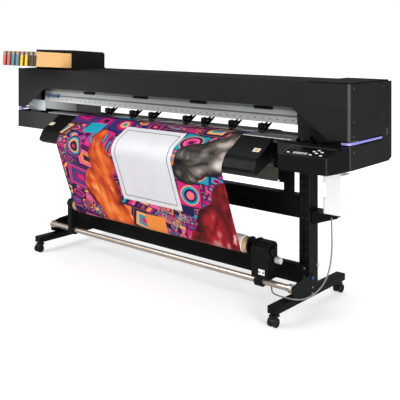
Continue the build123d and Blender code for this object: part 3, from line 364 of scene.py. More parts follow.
def rail_material():
    """Brushed rail with painted shade on its crown, a dark painted shade band over the groove, a grey
    painted shade band under the crown, and a ruler strip with its marks.
    """
    tree = brushed("bright_aluminium", (0.29, 0.31, 0.315), (0.43, 0.45, 0.455), 0.36, metallic=0.5)
    x, y, z = tree.split(tree.place)
    on_rail = tree.below(y, RAIL_HIGH[1] + 0.001)
    on_front = tree.below(y, RAIL_FRONT + 0.0005)
    # Painted shade: the crown is darkened.
    tree.over(tree.times(tree.above(z, CROWN_Z), on_rail), (0.15, 0.155, 0.14))
    # Painted shade: a dark band just above the ruler, over the groove.
    tree.over(tree.times(tree.between(z, RULER_HIGH, RULER_HIGH + 0.018), on_front), (0.10, 0.105, 0.105))
    # Painted shade: a grey band at the top of the front face, under the crown.
    tree.over(tree.times(tree.between(z, CROWN_Z - 0.014, CROWN_Z), on_front), (0.17, 0.175, 0.165))
    strip = tree.times(tree.between(z, RULER_LOW, RULER_HIGH), on_front)
    tree.over(tree.times(strip, 0.8), (0.42, 0.43, 0.42))
    fine = tree.times(tree.dashes(x, 0.010, 0.14), tree.between(z, RULER_LOW + 0.010, RULER_LOW + 0.015))
    coarse = tree.times(tree.dashes(x, 0.050, 0.30), tree.between(z, RULER_LOW + 0.016, RULER_LOW + 0.023))
    marks = tree.times(tree.maths("MAXIMUM", fine, coarse), on_front)
    tree.over(tree.times(marks, 0.75), (0.13, 0.11, 0.10))
    return tree.material


CARTON_ROWS = 8
CARTON_MARGIN = 0.003
CARTON_LOW_Z = 1.345
CARTON_TOP_Z = 1.405


def carton_material(name, label):
    """Tan board, darkened to dark brown as painted shade on every carton but the rightmost, with a
    coloured paper label on the front face of each.
    """
    low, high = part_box("ink_station")
    pitch = (high[0] - low[0] - 2 * CARTON_MARGIN) / CARTON_ROWS
    tree = Tree(name)
    x, _, z = tree.split(tree.place)
    geometry = tree.nodes.new("ShaderNodeNewGeometry")
    facing = tree.split(geometry.outputs["Normal"])[1]
    front = tree.below(facing, -0.8)
    place = tree.maths("FRACT", tree.maths("DIVIDE", tree.minus(x, low[0] + CARTON_MARGIN), pitch))
    inside = tree.below(tree.maths("ABSOLUTE", tree.minus(place, 0.5)), 0.25)
    fibres = tree.noise(1.0, 5.0, tree.stretch(tree.place, (260.0, 40.0, 600.0)))
    board = tree.blend(tree.remap(fibres, 0.3, 0.7, 0.0, 1.0), (0.86, 0.45, 0.15), (0.98, 0.62, 0.26))
    # Painted shade: the board of every carton but the rightmost is darkened, standing in for the shade
    # between the cartons.
    between = tree.below(x, high[0] - CARTON_MARGIN - pitch / 2)
    board = tree.blend(tree.times(between, 0.85), board, (0.16, 0.07, 0.022))
    bands = [
        (0.0, label),
        (0.55, label),
        (0.60, (0.30, 0.34, 0.42)),
        (0.80, (0.34, 0.30, 0.26)),
        (1.0, (0.42, 0.30, 0.20)),
    ]
    stripe = tree.ramp(tree.remap(z, CARTON_LOW_Z, CARTON_TOP_Z, 0.0, 1.0), bands)
    tree.join(tree.blend(tree.times(front, inside), board, stripe), tree.shader.inputs["Base Color"])
    tree.join(tree.remap(fibres, 0.3, 0.7, 0.55, 0.8), tree.shader.inputs["Roughness"])
    tree.bump(fibres, 0.2, 0.0006)
    return tree.material


def bottle_material():
    """Milky, slightly clear plastic, with a faint painted glow."""
    tree = surface("bottle_clear", (0.86, 0.88, 0.89), (0.94, 0.95, 0.95), 0.35, bump=0.1, patch=6.0)
    # Painted glow: a faint bluish-white emission on the bottle.
    tree.shader.inputs["Emission Color"].default_value = (0.95, 0.98, 1.0, 1.0)
    tree.shader.inputs["Emission Strength"].default_value = 0.05
    tree.shader.inputs["Transmission Weight"].default_value = 0.25
    tree.shader.inputs["Subsurface Weight"].default_value = 0.4
    tree.shader.inputs["Subsurface Radius"].default_value = (0.02, 0.02, 0.02)
    return tree.material


def light_strip_material():
    """Frosted violet light guide with a faint glow."""
    tree = surface("led_violet", (0.17, 0.155, 0.45), (0.22, 0.20, 0.52), 0.4, bump=0.05)
    glow = tree.blend(tree.noise(60.0, 2.0), (0.36, 0.32, 0.85), (0.46, 0.42, 0.95))
    tree.join(glow, tree.shader.inputs["Emission Color"])
    tree.shader.inputs["Emission Strength"].default_value = 0.04
    return tree.material


def core_material():
    """Wound cardboard with its spiral seam."""
    tree = Tree("tan_board")
    x, y, z = tree.split(tree.place)
    angle = tree.maths("ARCTAN2", tree.minus(z, CORE_Z), tree.minus(y, CORE_Y))
    wound = tree.plus(tree.times(x, 9.0), tree.maths("DIVIDE", angle, 2 * math.pi))
    seam = tree.below(tree.maths("FRACT", wound), 0.03)
    fibres = tree.noise(500.0, 4.0)
    board = tree.blend(tree.remap(fibres, 0.3, 0.7, 0.0, 1.0), (0.50, 0.32, 0.17), (0.66, 0.46, 0.28))
    tree.join(tree.blend(seam, board, (0.36, 0.22, 0.12)), tree.shader.inputs["Base Color"])
    tree.join(tree.remap(fibres, 0.3, 0.7, 0.65, 0.85), tree.shader.inputs["Roughness"])
    tree.bump(fibres, 0.25, 0.0005)
    return tree.material


# ---- the film's print --------------------------------------------------------
# Places on the film are metres across it, and down it from where the print starts.
NAVY = (0.010, 0.006, 0.050)
PINK = (0.62, 0.014, 0.16)
TEAL = (0.008, 0.30, 0.42)
OUTLINE = (0.012, 0.008, 0.07)

PALETTE = [
    (0.0, NAVY),
    (0.24, PINK),
    (0.42, (0.85, 0.22, 0.04)),
    (0.52, TEAL),
    (0.64, (0.24, 0.006, 0.15)),
    (0.76, (0.80, 0.10, 0.27)),
    (0.85, (0.85, 0.40, 0.14)),
    (0.91, (0.012, 0.045, 0.19)),
]

SPOT_CENTRE = (0.175, 0.375)
SPOT_RADIUS = 0.075
SPOT_RINGS = [
    (0.0, PINK),
    (0.16, NAVY),
    (0.42, (0.85, 0.30, 0.07)),
    (0.56, TEAL),
    (0.72, NAVY),
    (0.84, (0.75, 0.03, 0.22)),
]

# Plain boxes: centre, half size, tone.
PLAIN_BOXES = (
    ((0.268, 0.214), (0.074, 0.050), (0.008, 0.33, 0.46)),
    ((0.775, 0.855), (0.085, 0.075), (0.86, 0.27, 0.05)),
)

PANEL_CENTRE = (0.785, 0.432)
PANEL_HALF = (0.250, 0.268)
PANEL_RULE = (0.028, 0.034)

# Draped forms: joined ellipses (centre and half size), a tone ramp, the lean of the creases, how rough
# the edge is, the seed of the draws, and how close the creases are across and down.
DRAPES = (
    {
        "blobs": (
            (0.385, 0.30, 0.055, 0.085),
            (0.41, 0.46, 0.115, 0.13),
            (0.36, 0.66, 0.165, 0.16),
            (0.43, 0.86, 0.14, 0.15),
        ),
        "stops": [
            (0.10, (0.06, 0.010, 0.02)),
            (0.26, (0.42, 0.035, 0.008)),
            (0.50, (0.82, 0.14, 0.02)),
            (0.80, (0.95, 0.36, 0.09)),
        ],
        "lean": 0.25,
        "edge": 0.55,
        "seed": 3.0,
        "grain": (9.0, 3.2),
    },
    {
        "blobs": ((1.40, 0.60, 0.115, 0.14), (1.32, 0.78, 0.195, 0.17), (1.25, 0.98, 0.25, 0.22)),
        "stops": [
            (0.12, (0.014, 0.001, 0.002)),
            (0.32, (0.13, 0.004, 0.008)),
            (0.54, (0.38, 0.013, 0.02)),
            (0.84, (0.85, 0.50, 0.50)),
        ],
        "lean": -0.10,
        "edge": 0.40,
        "seed": 7.0,
        "grain": (8.0, 3.0),
    },
    {
        "blobs": (
            (1.215, 0.34, 0.150, 0.110),
            (1.33, 0.30, 0.14, 0.13),
            (1.44, 0.22, 0.13, 0.14),
            (1.13, 0.44, 0.10, 0.07),
        ),
        "stops": [
            (0.15, (0.006, 0.005, 0.005)),
            (0.34, (0.035, 0.030, 0.028)),
            (0.52, (0.17, 0.14, 0.12)),
            (0.78, (0.60, 0.53, 0.47)),
        ],
        "lean": -0.2,
        "edge": 0.60,
        "seed": 5.0,
        "grain": (5.0, 6.5),
    },
)


def banded(tree, value, count, stride, start):
    """Tones from the palette in even bands of the value."""
    band = tree.maths("FLOOR", tree.times(value, count))
    place = tree.maths("FRACT", tree.maths("MULTIPLY_ADD", band, stride, start))
    return tree.ramp(place, PALETTE, "CONSTANT")


def motif_layer(tree, x, y, size):
    """One tiled layer of flat boxes with rings, frames and stripes in them, and one random draw."""
    tile_y = tree.maths("DIVIDE", y, size[1])
    row = tree.maths("FLOOR", tile_y)
    tile_x = tree.plus(tree.maths("DIVIDE", x, size[0]), tree.times(row, 0.37))
    column = tree.maths("FLOOR", tile_x)
    first, second, third = tree.chance(tree.gather(column, row, size[0] * 7))
    fourth, fifth, _ = tree.chance(tree.gather(row, column, size[1] * 5))
    near_x = tree.minus(tree.maths("FRACT", tile_x), 0.5)
    near_y = tree.minus(tree.maths("FRACT", tile_y), 0.5)
    square = tree.maths("MAXIMUM", tree.maths("ABSOLUTE", near_x), tree.maths("ABSOLUTE", near_y))
    radius = tree.maths("SQRT", tree.squares(near_x, near_y))
    tone = tree.ramp(first, PALETTE, "CONSTANT")
    ringed = tree.times(tree.below(radius, 0.40), tree.below(second, 0.38))
    tone = tree.blend(ringed, tone, banded(tree, radius, 11.0, 0.37, third))
    tone = tree.blend(tree.above(second, 0.72), tone, banded(tree, square, 9.0, 0.29, fourth))
    slant = tree.plus(near_x, tree.times(near_y, 0.5))
    tone = tree.blend(tree.between(second, 0.42, 0.60), tone, banded(tree, slant, 7.0, 0.41, fifth))
    tone = tree.blend(tree.above(square, 0.455), tone, OUTLINE)
    return tone, fourth


def drape_form(tree, ground, across, down, drape):
    """An abstract draped form with a rough edge and soft creases running down it."""
    seed = drape["seed"]
    flat = tree.gather(across, down, seed)
    rough = tree.times(tree.minus(tree.noise(8.0, 4.0, flat), 0.5), drape["edge"])
    nearest = None
    for x, y, half_x, half_y in drape["blobs"]:
        dx = tree.maths("DIVIDE", tree.minus(across, x), half_x)
        dy = tree.maths("DIVIDE", tree.minus(down, y), half_y)
        reach = tree.squares(dx, dy)
        nearest = reach if nearest is None else tree.maths("SMOOTH_MIN", nearest, reach, 0.5)
    mask = tree.remap(tree.plus(nearest, rough), 0.97, 1.0, 1.0, 0.0)
    along = tree.maths("MULTIPLY_ADD", down, -drape["lean"], across)
    close, long = drape["grain"]
    creases = tree.noise(1.0, 2.0, tree.gather(tree.times(along, close), tree.times(down, long), seed))
    folds = tree.maths("ABSOLUTE", tree.maths("MULTIPLY_ADD", creases, 5.0, -2.5))
    soft = tree.noise(7.0, 3.0, flat, 0.5)
    shine = tree.noise(11.0, 3.0, tree.gather(along, tree.times(down, 0.5), seed))
    tone = tree.maths("MULTIPLY_ADD", folds, 0.36, tree.maths("MULTIPLY_ADD", soft, 0.70, -0.05))
    tone = tree.plus(tone, tree.remap(shine, 0.60, 0.70, 0.0, 0.35))
    rim = tree.remap(nearest, 0.35, 1.0, 0.0, 0.22)
    return tree.blend(mask, ground, tree.ramp(tree.minus(tone, rim), drape["stops"]))


def motif_ground(tree, across, down, flat):
    """Three sizes of motifs mixed at random, with two plain boxes and a ringed spot on them."""
    wobble = tree.minus(tree.noise(2.6, 1.0, flat), 0.5)
    x = tree.plus(tree.maths("MULTIPLY_ADD", down, 0.22, across), tree.times(wobble, 0.16))
    y = tree.plus(tree.maths("MULTIPLY_ADD", across, -0.14, down), tree.times(wobble, 0.10))
    large, large_pick = motif_layer(tree, x, y, (0.215, 0.165))
    middle, middle_pick = motif_layer(tree, x, y, (0.105, 0.062))
    small, _ = motif_layer(tree, x, y, (0.046, 0.030))
    detail = tree.blend(tree.above(middle_pick, 0.70), middle, small)
    ground = tree.blend(tree.above(large_pick, 0.42), large, detail)
    for centre, half, tone in PLAIN_BOXES:
        ground = tree.blend(tree.box_mask(across, down, centre, half), ground, tone)
    spot = tree.squares(tree.minus(across, SPOT_CENTRE[0]), tree.minus(down, SPOT_CENTRE[1]))
    spot = tree.maths("SQRT", spot)
    spot_tone = tree.ramp(tree.times(spot, 0.9 / SPOT_RADIUS), SPOT_RINGS, "CONSTANT")
    return tree.blend(tree.below(spot, SPOT_RADIUS), ground, spot_tone)


def pale_panel(tree, ground, across, down, flat):
    """A plain pale panel with one thin rule inside its edge."""
    paper = tree.blend(tree.noise(9.0, 3.0, flat), (0.66, 0.66, 0.70), (0.76, 0.75, 0.78))
    ground = tree.blend(tree.box_mask(across, down, PANEL_CENTRE, PANEL_HALF), ground, paper)
    outer, inner = [
        tree.box_mask(across, down, PANEL_CENTRE, (PANEL_HALF[0] - inset, PANEL_HALF[1] - inset))
        for inset in PANEL_RULE
    ]
    return tree.blend(tree.minus(outer, inner), ground, (0.20, 0.20, 0.21))


def print_material():
    """The printed film: bright flat motifs, three draped abstract forms and a plain pale panel."""
    tree = Tree("printed_film")
    coordinates = tree.nodes.new("ShaderNodeUVMap")
    coordinates.uv_map = "flat"
    across, down, _ = tree.split(coordinates.outputs["UV"])
    flat = tree.gather(across, down, 0.0)
    ground = motif_ground(tree, across, down, flat)
    for drape in DRAPES:
        ground = drape_form(tree, ground, across, down, drape)
    ground = pale_panel(tree, ground, across, down, flat)
    printed = tree.blend(tree.above(down, 0.0), (0.80, 0.80, 0.80), ground)
    tree.join(printed, tree.shader.inputs["Base Color"])
    dots = tree.noise(1400.0, 2.0, flat)
    tree.join(tree.remap(dots, 0.3, 0.7, 0.30, 0.42), tree.shader.inputs["Roughness"])
    tree.shader.inputs["Specular IOR Level"].default_value = 0.12
    tree.bump(tree.noise(25.0, 2.0, flat), 0.06, 0.002)
    return tree.material


# ---- materials onto the frame ------------------------------------------------
def painted(name, row):
    dark, light, roughness, extras = row
    return surface(name, triple(dark), triple(light), roughness, **extras)


def triple(tone):
    return (tone,) * 3 if isinstance(tone, float) else tone


def build_materials():
    made = {
        "bright_aluminium": rail_material(),
        "tan_board": core_material(),
        "printed_media": print_material(),
        "led_violet": light_strip_material(),
        "bottle_clear": bottle_material(),
    }
    for name, row in PAINTS.items():
        made[name] = painted(name, row).material
    for name, (dark, light, roughness, extras) in METALS.items():
        made[name] = brushed(name, dark, light, roughness, **extras).material
    for name, label in CARTON_LABELS.items():
        made[name] = carton_material(name, label)
    return made


def cover_material():
    """The covers' textured paint, with the pale bay plates behind the opening; the grey plates under the
    rail carry painted light that fades from their left end, and they are near black past it.
    """
    tree = painted("cover_black", HOUSING)
    x, y, z = tree.split(tree.place)
    plates = tree.between(y, RAIL_FRONT + 0.003, RAIL_FRONT + 0.007)
    left = tree.times(plates, tree.below(x, RAIL_LEFT))
    tree.over(tree.times(left, tree.above(z, PLATEN_LOW[2])), (0.80, 0.88, 0.91))
    under_rail = tree.times(plates, tree.between(x, RAIL_LEFT, PINCH_LEFT))
    # Painted light: the plates under the rail fade from pale grey at the rail's left end to dim grey at
    # BAY_PANEL_END, and are near black past it.
    painted_light_fade = tree.remap(x, RAIL_LEFT, BAY_PANEL_END, 0.0, 1.0)
    tone = tree.blend(painted_light_fade, (0.40, 0.42, 0.43), (0.075, 0.078, 0.075))
    tone = tree.blend(tree.above(x, BAY_PANEL_END), tone, (0.005, 0.005, 0.005))
    tree.over(tree.times(under_rail, tree.above(z, PLATEN_TOP)), tone)
    return tree.material


def frame_material():
    """Black base frame with the zinc-grey skirt plate hanging from it; only the skirt's lowest strip shows
    zinc grey, and the skirt above it stays black as painted shade.
    """
    tree = painted("frame_black", BLACK_STEEL)
    _, _, z = tree.split(tree.place)
    # Zinc grey only below this height; the black on the skirt above it is painted shade.
    tree.over(tree.below(z, SKIRT_SHADE_LINE), (0.075, 0.078, 0.062))
    return tree.material


def paint_frame():
    slots = {row["node"]: row["material_slot"] for row in frame["record"]["subparts"]}
    cover = cover_material()
    top = painted("top_black", TOP).material
    special = {
        "end_cover_left": cover,
        "end_cover_right": cover,
        "base_frame": frame_material(),
        "top_cover": top,
        "service_lid": top,
        "guide_tube": MATERIALS["tube_steel"],
        "cutter_holder": MATERIALS["black_plastic"],
        "function_keys": MATERIALS["black_plastic"],
    }
    for name, node in NODES.items():
        node.data.materials.clear()
        node.data.materials.append(special.get(name, MATERIALS[slots[name]]))


MATERIALS = build_materials()
paint_frame()


# ---- cable -----------------------------------------------------------------
CABLE_ROUTE = [
    (1.160, 0.003, 0.537),
    (1.160, 0.003, 0.487),
    (1.165, 0.000, 0.402),
    (1.163, -0.005, 0.315),
    (1.150, -0.015, 0.232),
    (1.127, -0.040, 0.168),
    (1.098, -0.086, 0.128),
    (1.072, -0.140, 0.114),
    (1.046, -0.186, 0.121),
    (1.002, -0.206, 0.126),
    (0.948, -0.204, 0.126),
    (0.905, -0.184, 0.123),
    (0.874, -0.150, 0.129),
    (0.859, -0.126, 0.155),
    (0.857, -0.121, 0.188),
]
CABLE_DIAMETER = 0.008


def lay_cable():
    curve = bpy.data.curves.new("signal_lead", "CURVE")
    curve.dimensions = "3D"
    curve.bevel_depth = CABLE_DIAMETER / 2
    curve.bevel_resolution = 6
    curve.resolution_u = 16
    curve.use_fill_caps = True
    spline = curve.splines.new("NURBS")
    spline.points.add(len(CABLE_ROUTE) - 1)
    for point, place in zip(spline.points, CABLE_ROUTE):
        point.co = (*place, 1.0)
    spline.order_u = 3
    spline.use_endpoint_u = True
    lead = link("signal_lead", curve, MATERIALS["cable_grey"], "root")
    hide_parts("signal_cable")


lay_cable()


# ---- printed film ----------------------------------------------------------
WEB_THICKNESS = 0.0004
WEB_RISE = 0.0008
WEB_STEP = 0.008
WEB_COLUMNS = 72
HANG_ANGLE = math.radians(70.0)
NOSE_Z = 0.806
PRINT_START_Y = FRONT + 0.130
LOOSE_TOP = 0.78
LOOSE_LOW = 0.36


def film_line():
    """The film's corners in the YZ plane, from the supply roll to the take-up roll, and their radii."""
    top = PLATEN_HIGH[2] + WEB_RISE
    wrap_radius = ROLL_R + 0.0012
    under_z = CORE_Z - wrap_radius
    under_y = CORE_Y - wrap_radius * math.tan(HANG_ANGLE / 2)
    nose_y = under_y - (NOSE_Z - under_z) / math.tan(HANG_ANGLE)
    rear_y = WEB_HIGH[1] - 0.0006
    points = [
        (rear_y, SUPPLY_Z + 0.004),
        (rear_y, 0.942),
        (FRONT + 0.330, top - 0.005),
        (FRONT + 0.214, top),
        (FRONT + 0.0112, top),
        (FRONT - 0.0473, 0.9290),
        (FRONT - 0.1458, 0.8697),
        (nose_y, NOSE_Z),
        (under_y, under_z),
        (CORE_Y + 0.002, under_z),
    ]
    radii = [0.062, 0.30, 0.40, 0.030, 0.0624, 0.0624, 0.060, wrap_radius]
    return points, radii


def straight(start, end, step):
    pieces = int((end - start).length / step)
    return [start.lerp(end, piece / pieces) for piece in range(1, pieces)] if pieces > 1 else []


def rounded(points, radii, step):
    """Points along a polyline whose corners are arcs, about one step apart."""
    corners = [Vector(p) for p in points]
    line = [corners[0]]
    for before, corner, after, radius in zip(corners, corners[1:], corners[2:], radii):
        arriving = (corner - before).normalized()
        leaving = (after - corner).normalized()
        turn = arriving.angle(leaving)
        cut = radius * math.tan(turn / 2)
        side = 1.0 if arriving.cross(leaving) > 0 else -1.0
        start = corner - arriving * cut
        centre = start + Vector((-arriving.y, arriving.x)) * radius * side
        pieces = max(2, round(radius * turn / step))
        line.extend(straight(line[-1], start, step))
        for piece in range(pieces + 1):
            swing = side * turn * piece / pieces
            arm = start - centre
            cosine, sine = math.cos(swing), math.sin(swing)
            line.append(centre + Vector((arm.x * cosine - arm.y * sine, arm.x * sine + arm.y * cosine)))
    line.extend(straight(line[-1], corners[-1], step))
    line.append(corners[-1])
    return line


def clamped(value):
    return max(0.0, min(1.0, value))


def film_row(point, distance, width):
    """One row of points across the film, with slight waves and curled edges where it hangs free."""
    hanging = clamped((LOOSE_TOP - point.y) / 0.15) if point.x < FRONT + 0.02 else 0.0
    loose = hanging * clamped((point.y - LOOSE_LOW) / 0.12)
    places = []
    for column in range(WEB_COLUMNS + 1):
        share = column / WEB_COLUMNS
        broad = math.sin(share * math.pi * 3.0 + 0.6) * 0.0035
        narrow = math.sin(share * math.pi * 7.0 + distance * 5.0) * 0.0012
        edge_curl = 0.004 * (abs(2 * share - 1) ** 8)
        sway = loose * (broad + narrow + edge_curl)
        places.append((WEB_LOW[0] + share * width, point.x - sway, point.y))
    return places


def film_mesh(line, travelled, width):
    """The film's sheet, with its flat metres as its UV map."""
    verts = []
    for distance, point in zip(travelled, line):
        verts.extend(film_row(point, distance, width))
    row = WEB_COLUMNS + 1
    faces = []
    for index in range(len(line) - 1):
        for column in range(WEB_COLUMNS):
            a = index * row + column
            faces.append((a, a + 1, a + row + 1, a + row))
    mesh = bpy.data.meshes.new("printed_film")
    mesh.from_pydata(verts, [], faces)
    start = next(s for s, p in zip(travelled, line) if p.x < PRINT_START_Y)
    layer = mesh.uv_layers.new(name="flat")
    for loop in mesh.loops:
        index, column = divmod(loop.vertex_index, row)
        layer.data[loop.index].uv = (column / WEB_COLUMNS * width, travelled[index] - start)
    smooth(mesh)
    return mesh


def film():
    line = rounded(*film_line(), WEB_STEP)
    travelled = [0.0]
    for a, b in zip(line, line[1:]):
        travelled.append(travelled[-1] + (b - a).length)
    width = WEB_HIGH[0] - WEB_LOW[0]
    mesh = film_mesh(line, travelled, width)
    piece = link("printed_film", mesh, MATERIALS["printed_media"], "root")
    shell = piece.modifiers.new("thickness", "SOLIDIFY")
    shell.thickness = WEB_THICKNESS
    shell.offset = 0.0
    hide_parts("media_web")


film()


# ---- rail and pinch details ------------------------------------------------
RAIL_GROOVE_X = (-1.139, 1.033)
RAIL_GROOVE_Z = (1.0695, 1.0775)
RAIL_CAPS_X = ((-0.698, -0.594), (-0.213, -0.086), (0.278, 0.404), (0.756, 0.878))
RAIL_CAP_Z = (1.110, 1.127)
RAIL_CAP_LIP_Z = (1.114, 1.121)
PINCH_X = (-0.502, -0.265, -0.090, 0.205, 0.355, 0.563, 0.776)
CUP_Z = 1.0253
CUP_SCREW_Z = 1.0275
CHEEK_Z = (0.9965, 1.016)
CHEEK_SCREW_Z = 1.006


def rail_details():
    """The liner of the rail's groove and the caps along its lower edge."""
    bm = bmesh.new()
    low = (RAIL_GROOVE_X[0], RAIL_FRONT + 0.0005, RAIL_GROOVE_Z[0])
    high = (RAIL_GROOVE_X[1], RAIL_FRONT + 0.0028, RAIL_GROOVE_Z[1])
    add_box(bm, low, high)
    finish_mesh("rail_groove_liner", bm, MATERIALS["bright_aluminium"])
    bm = bmesh.new()
    for left, right in RAIL_CAPS_X:
        cap_low = (left, RAIL_FRONT - 0.010, RAIL_CAP_Z[0])
        cap_high = (right, RAIL_FRONT + 0.002, RAIL_CAP_Z[1])
        add_box(bm, cap_low, cap_high, 0.002)
        lip_low = (left + 0.02, RAIL_FRONT - 0.012, RAIL_CAP_LIP_Z[0])
        lip_high = (right - 0.02, RAIL_FRONT - 0.009, RAIL_CAP_LIP_Z[1])
        add_box(bm, lip_low, lip_high, 0.001)
    finish_mesh("rail_caps", bm, MATERIALS["black_plastic"])


def pinch_details():
    """Spring cups, set screws and side bosses on the seven pinch arms."""
    screws = bmesh.new()
    cups = bmesh.new()
    wheel_low, wheel_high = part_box("pinch_wheels")
    wheel_y = (wheel_low[1] + wheel_high[1]) / 2
    wheel_z = (wheel_low[2] + wheel_high[2]) / 2
    near_y, far_y = wheel_y - 0.007, wheel_y + 0.020
    for x in PINCH_X:
        add_disc(cups, (x, wheel_y + 0.003, CUP_Z), (0, 0, 1), 0.008, 0.004, 0.001)
        add_box(cups, (x - 0.021, near_y, CHEEK_Z[0]), (x - 0.0168, far_y, CHEEK_Z[1]), 0.0015)
        add_box(cups, (x + 0.0168, near_y, CHEEK_Z[0]), (x + 0.021, far_y, CHEEK_Z[1]), 0.0015)
        add_disc(screws, (x, wheel_y + 0.0035, CUP_SCREW_Z), (0, 0, 1), 0.0036, 0.0012, sides=16)
        for side in (-1, 1):
            cheek_screw = (x + side * 0.0215, wheel_y + 0.006, CHEEK_SCREW_Z)
            add_disc(screws, cheek_screw, (1, 0, 0), 0.0032, 0.0012, sides=16)
            add_disc(screws, (x + side * 0.0178, wheel_y, wheel_z), (1, 0, 0), 0.0042, 0.0012, sides=20)
    finish_mesh("pinch_spring_cups", cups, MATERIALS["black_plastic"], "pinch_frame")
    finish_mesh("pinch_screws", screws, MATERIALS["zinc_steel"], "pinch_frame")


rail_details()
pinch_details()


# ---- take-up unit ----------------------------------------------------------
UNIT_LOW, UNIT_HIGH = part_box("takeup_housing")
SWITCH_LOW, SWITCH_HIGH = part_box("takeup_switch")
# Each step of the motor's end: how far out its middle is, its radius, depth and bevel.
MOTOR_STEPS = (
    (0.010, 0.0175, 0.020, 0.002),
    (0.023, 0.0150, 0.006, 0.001),
    (0.030, 0.0175, 0.008, 0.002),
)


def motor_end():
    bm = bmesh.new()
    end = UNIT_HIGH[0] - 0.004
    for out, radius, depth, bevel in MOTOR_STEPS:
        add_disc(bm, (end + out, CORE_Y + 0.024, CORE_Z - 0.058), (1, 0, 0), radius, depth, bevel, 48)
    finish_mesh("takeup_motor_end", bm, MATERIALS["steel_white"])


def switch_notches():
    """Two dark notches on the face of the pale switch."""
    bm = bmesh.new()
    middle = (SWITCH_LOW[0] + SWITCH_HIGH[0]) / 2
    centre = (SWITCH_LOW[2] + SWITCH_HIGH[2]) / 2
    face = SWITCH_LOW[1]
    for side in (-1, 1):
        reach = middle + side * 0.020
        low = (min(reach, reach - side * 0.013), face - 0.0006, centre - 0.0035)
        high = (max(reach, reach - side * 0.013), face + 0.0010, centre + 0.0035)
        add_box(bm, low, high, 0.0004)
    finish_mesh("switch_notches", bm, MATERIALS["black_plastic"], "takeup_switch")


def cover_screws():
    bm = bmesh.new()
    for across in (0.016, 0.034):
        place = (UNIT_LOW[0] + across, CORE_Y - 0.0365, CORE_Z - 0.130)
        add_disc(bm, place, (0, 1, 0), 0.004, 0.004, 0.001, 20)
    finish_mesh("takeup_cover_screws", bm, MATERIALS["zinc_steel"])


motor_end()
switch_notches()
cover_screws()


# ---- stand details ----------------------------------------------------------
LEG_LOW, LEG_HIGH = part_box("legs")
LEG_WIDTH = 0.069
GUSSET_FACE = LEG_HIGH[0] + 0.006
SLOT_ROWS = 11
SLOT_FIRST_Z = 0.300
SLOT_PITCH = 0.050
SLOT_COLUMNS = (0.016, 0.050)
SLOT_WIDTH = 0.004
SLOT_HEIGHT = 0.010


def marker_caps():
    """One blue and one red round cap on the right gusset plate."""
    bm = bmesh.new()
    add_disc(bm, (GUSSET_FACE + 0.0045, LEG_LOW[1] + 0.019, 0.180), (1, 0, 0), 0.0075, 0.005, 0.001, 24)
    finish_mesh("blue_marker_cap", bm, MATERIALS["marker_blue"])
    bm = bmesh.new()
    add_disc(bm, (GUSSET_FACE + 0.0015, LEG_LOW[1] + 0.031, 0.084), (1, 0, 0), 0.0062, 0.003, 0.001, 24)
    finish_mesh("red_marker_cap", bm, MATERIALS["marker_red"])


def leg_slots():
    """Two columns of short slots up the front of each leg."""
    bm = bmesh.new()
    face = LEG_LOW[1]
    for leg in (LEG_LOW[0], LEG_HIGH[0] - LEG_WIDTH):
        for row in range(SLOT_ROWS):
            z = SLOT_FIRST_Z + row * SLOT_PITCH
            for column in SLOT_COLUMNS:
                x = leg + column
                high = (x + SLOT_WIDTH, face + 0.002, z + SLOT_HEIGHT)
                add_box(bm, (x, face - 0.0006, z), high, 0.0004)
    finish_mesh("leg_slots", bm, MATERIALS["slot_grey"])


def leg_fitting():
    bm = bmesh.new()
    for out, radius, depth in ((0.004, 0.0075, 0.008), (0.009, 0.0045, 0.004)):
        place = (LEG_HIGH[0] + out, LEG_HIGH[1] - 0.010, 0.235)
        add_disc(bm, place, (1, 0, 0), radius, depth, 0.001, 24)
    finish_mesh("leg_fitting", bm, MATERIALS["steel_white"])


marker_caps()
leg_slots()
leg_fitting()


# ---- body details -----------------------------------------------------------
BODY_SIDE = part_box("end_cover_right")[1][0]
GROMMET_Y = FRONT + 0.411
GROMMETS_Z = (1.193, 1.156, 0.868)
GROMMET_RADIUS = 0.011
LABEL_BROW = (FRONT - 0.046, 0.927)
LABEL_CHEEK = (FRONT - 0.144, 0.868)
LABELS_X = {"label_left": APRON_LOW[0] + 0.024, "label_right": APRON_HIGH[0] - 0.046}
# Each layer of a label: half its height, half its width, its material, and how far it stands off.
LABEL_LAYERS = ((0.015, 0.022, 0, 0.0019), (0.009, 0.012, 1, 0.0023))
LABEL_THICKNESS = 0.0006
KEY_PANEL_ORIGIN = (1.226, FRONT - 0.115, 0.94107)
KEY_PANEL_SLOPE = math.atan2(0.035, 0.121)


def side_details():
    """Grommets and a small plate on the right side panel."""
    bm = bmesh.new()
    for z in GROMMETS_Z:
        add_disc(bm, (BODY_SIDE - 0.001, GROMMET_Y, z), (1, 0, 0), GROMMET_RADIUS, 0.005, 0.0015, 32)
        centre = (BODY_SIDE + 0.001, GROMMET_Y, z)
        add_disc(bm, centre, (1, 0, 0), GROMMET_RADIUS * 0.45, 0.006, 0.001, 24)
    finish_mesh("side_grommets", bm, MATERIALS["black_rubber"])
    bm = bmesh.new()
    low = (BODY_SIDE - 0.001, FRONT + 0.394, 0.985)
    high = (BODY_SIDE + 0.0008, FRONT + 0.420, 1.021)
    add_box(bm, low, high, 0.0004)
    finish_mesh("side_plate", bm, MATERIALS["slot_grey"])


def label_layer(bm, x, middle, along, outward, layer):
    """One thin plate of a label, on the slope and facing out of it."""
    high, half, material_index, lift = layer
    corners = []
    for sx, sy in ((-1, -1), (1, -1), (1, 1), (-1, 1)):
        place = middle + along * sy * high + outward * lift
        corners.append(bm.verts.new((x + sx * half, place.x, place.y)))
    face = bm.faces.new(corners)
    face.material_index = material_index
    shift = -outward * LABEL_THICKNESS
    for item in bmesh.ops.extrude_face_region(bm, geom=[face])["geom"]:
        if isinstance(item, bmesh.types.BMVert):
            item.co += Vector((0, shift.x, shift.y))
        if isinstance(item, bmesh.types.BMFace):
            item.material_index = material_index


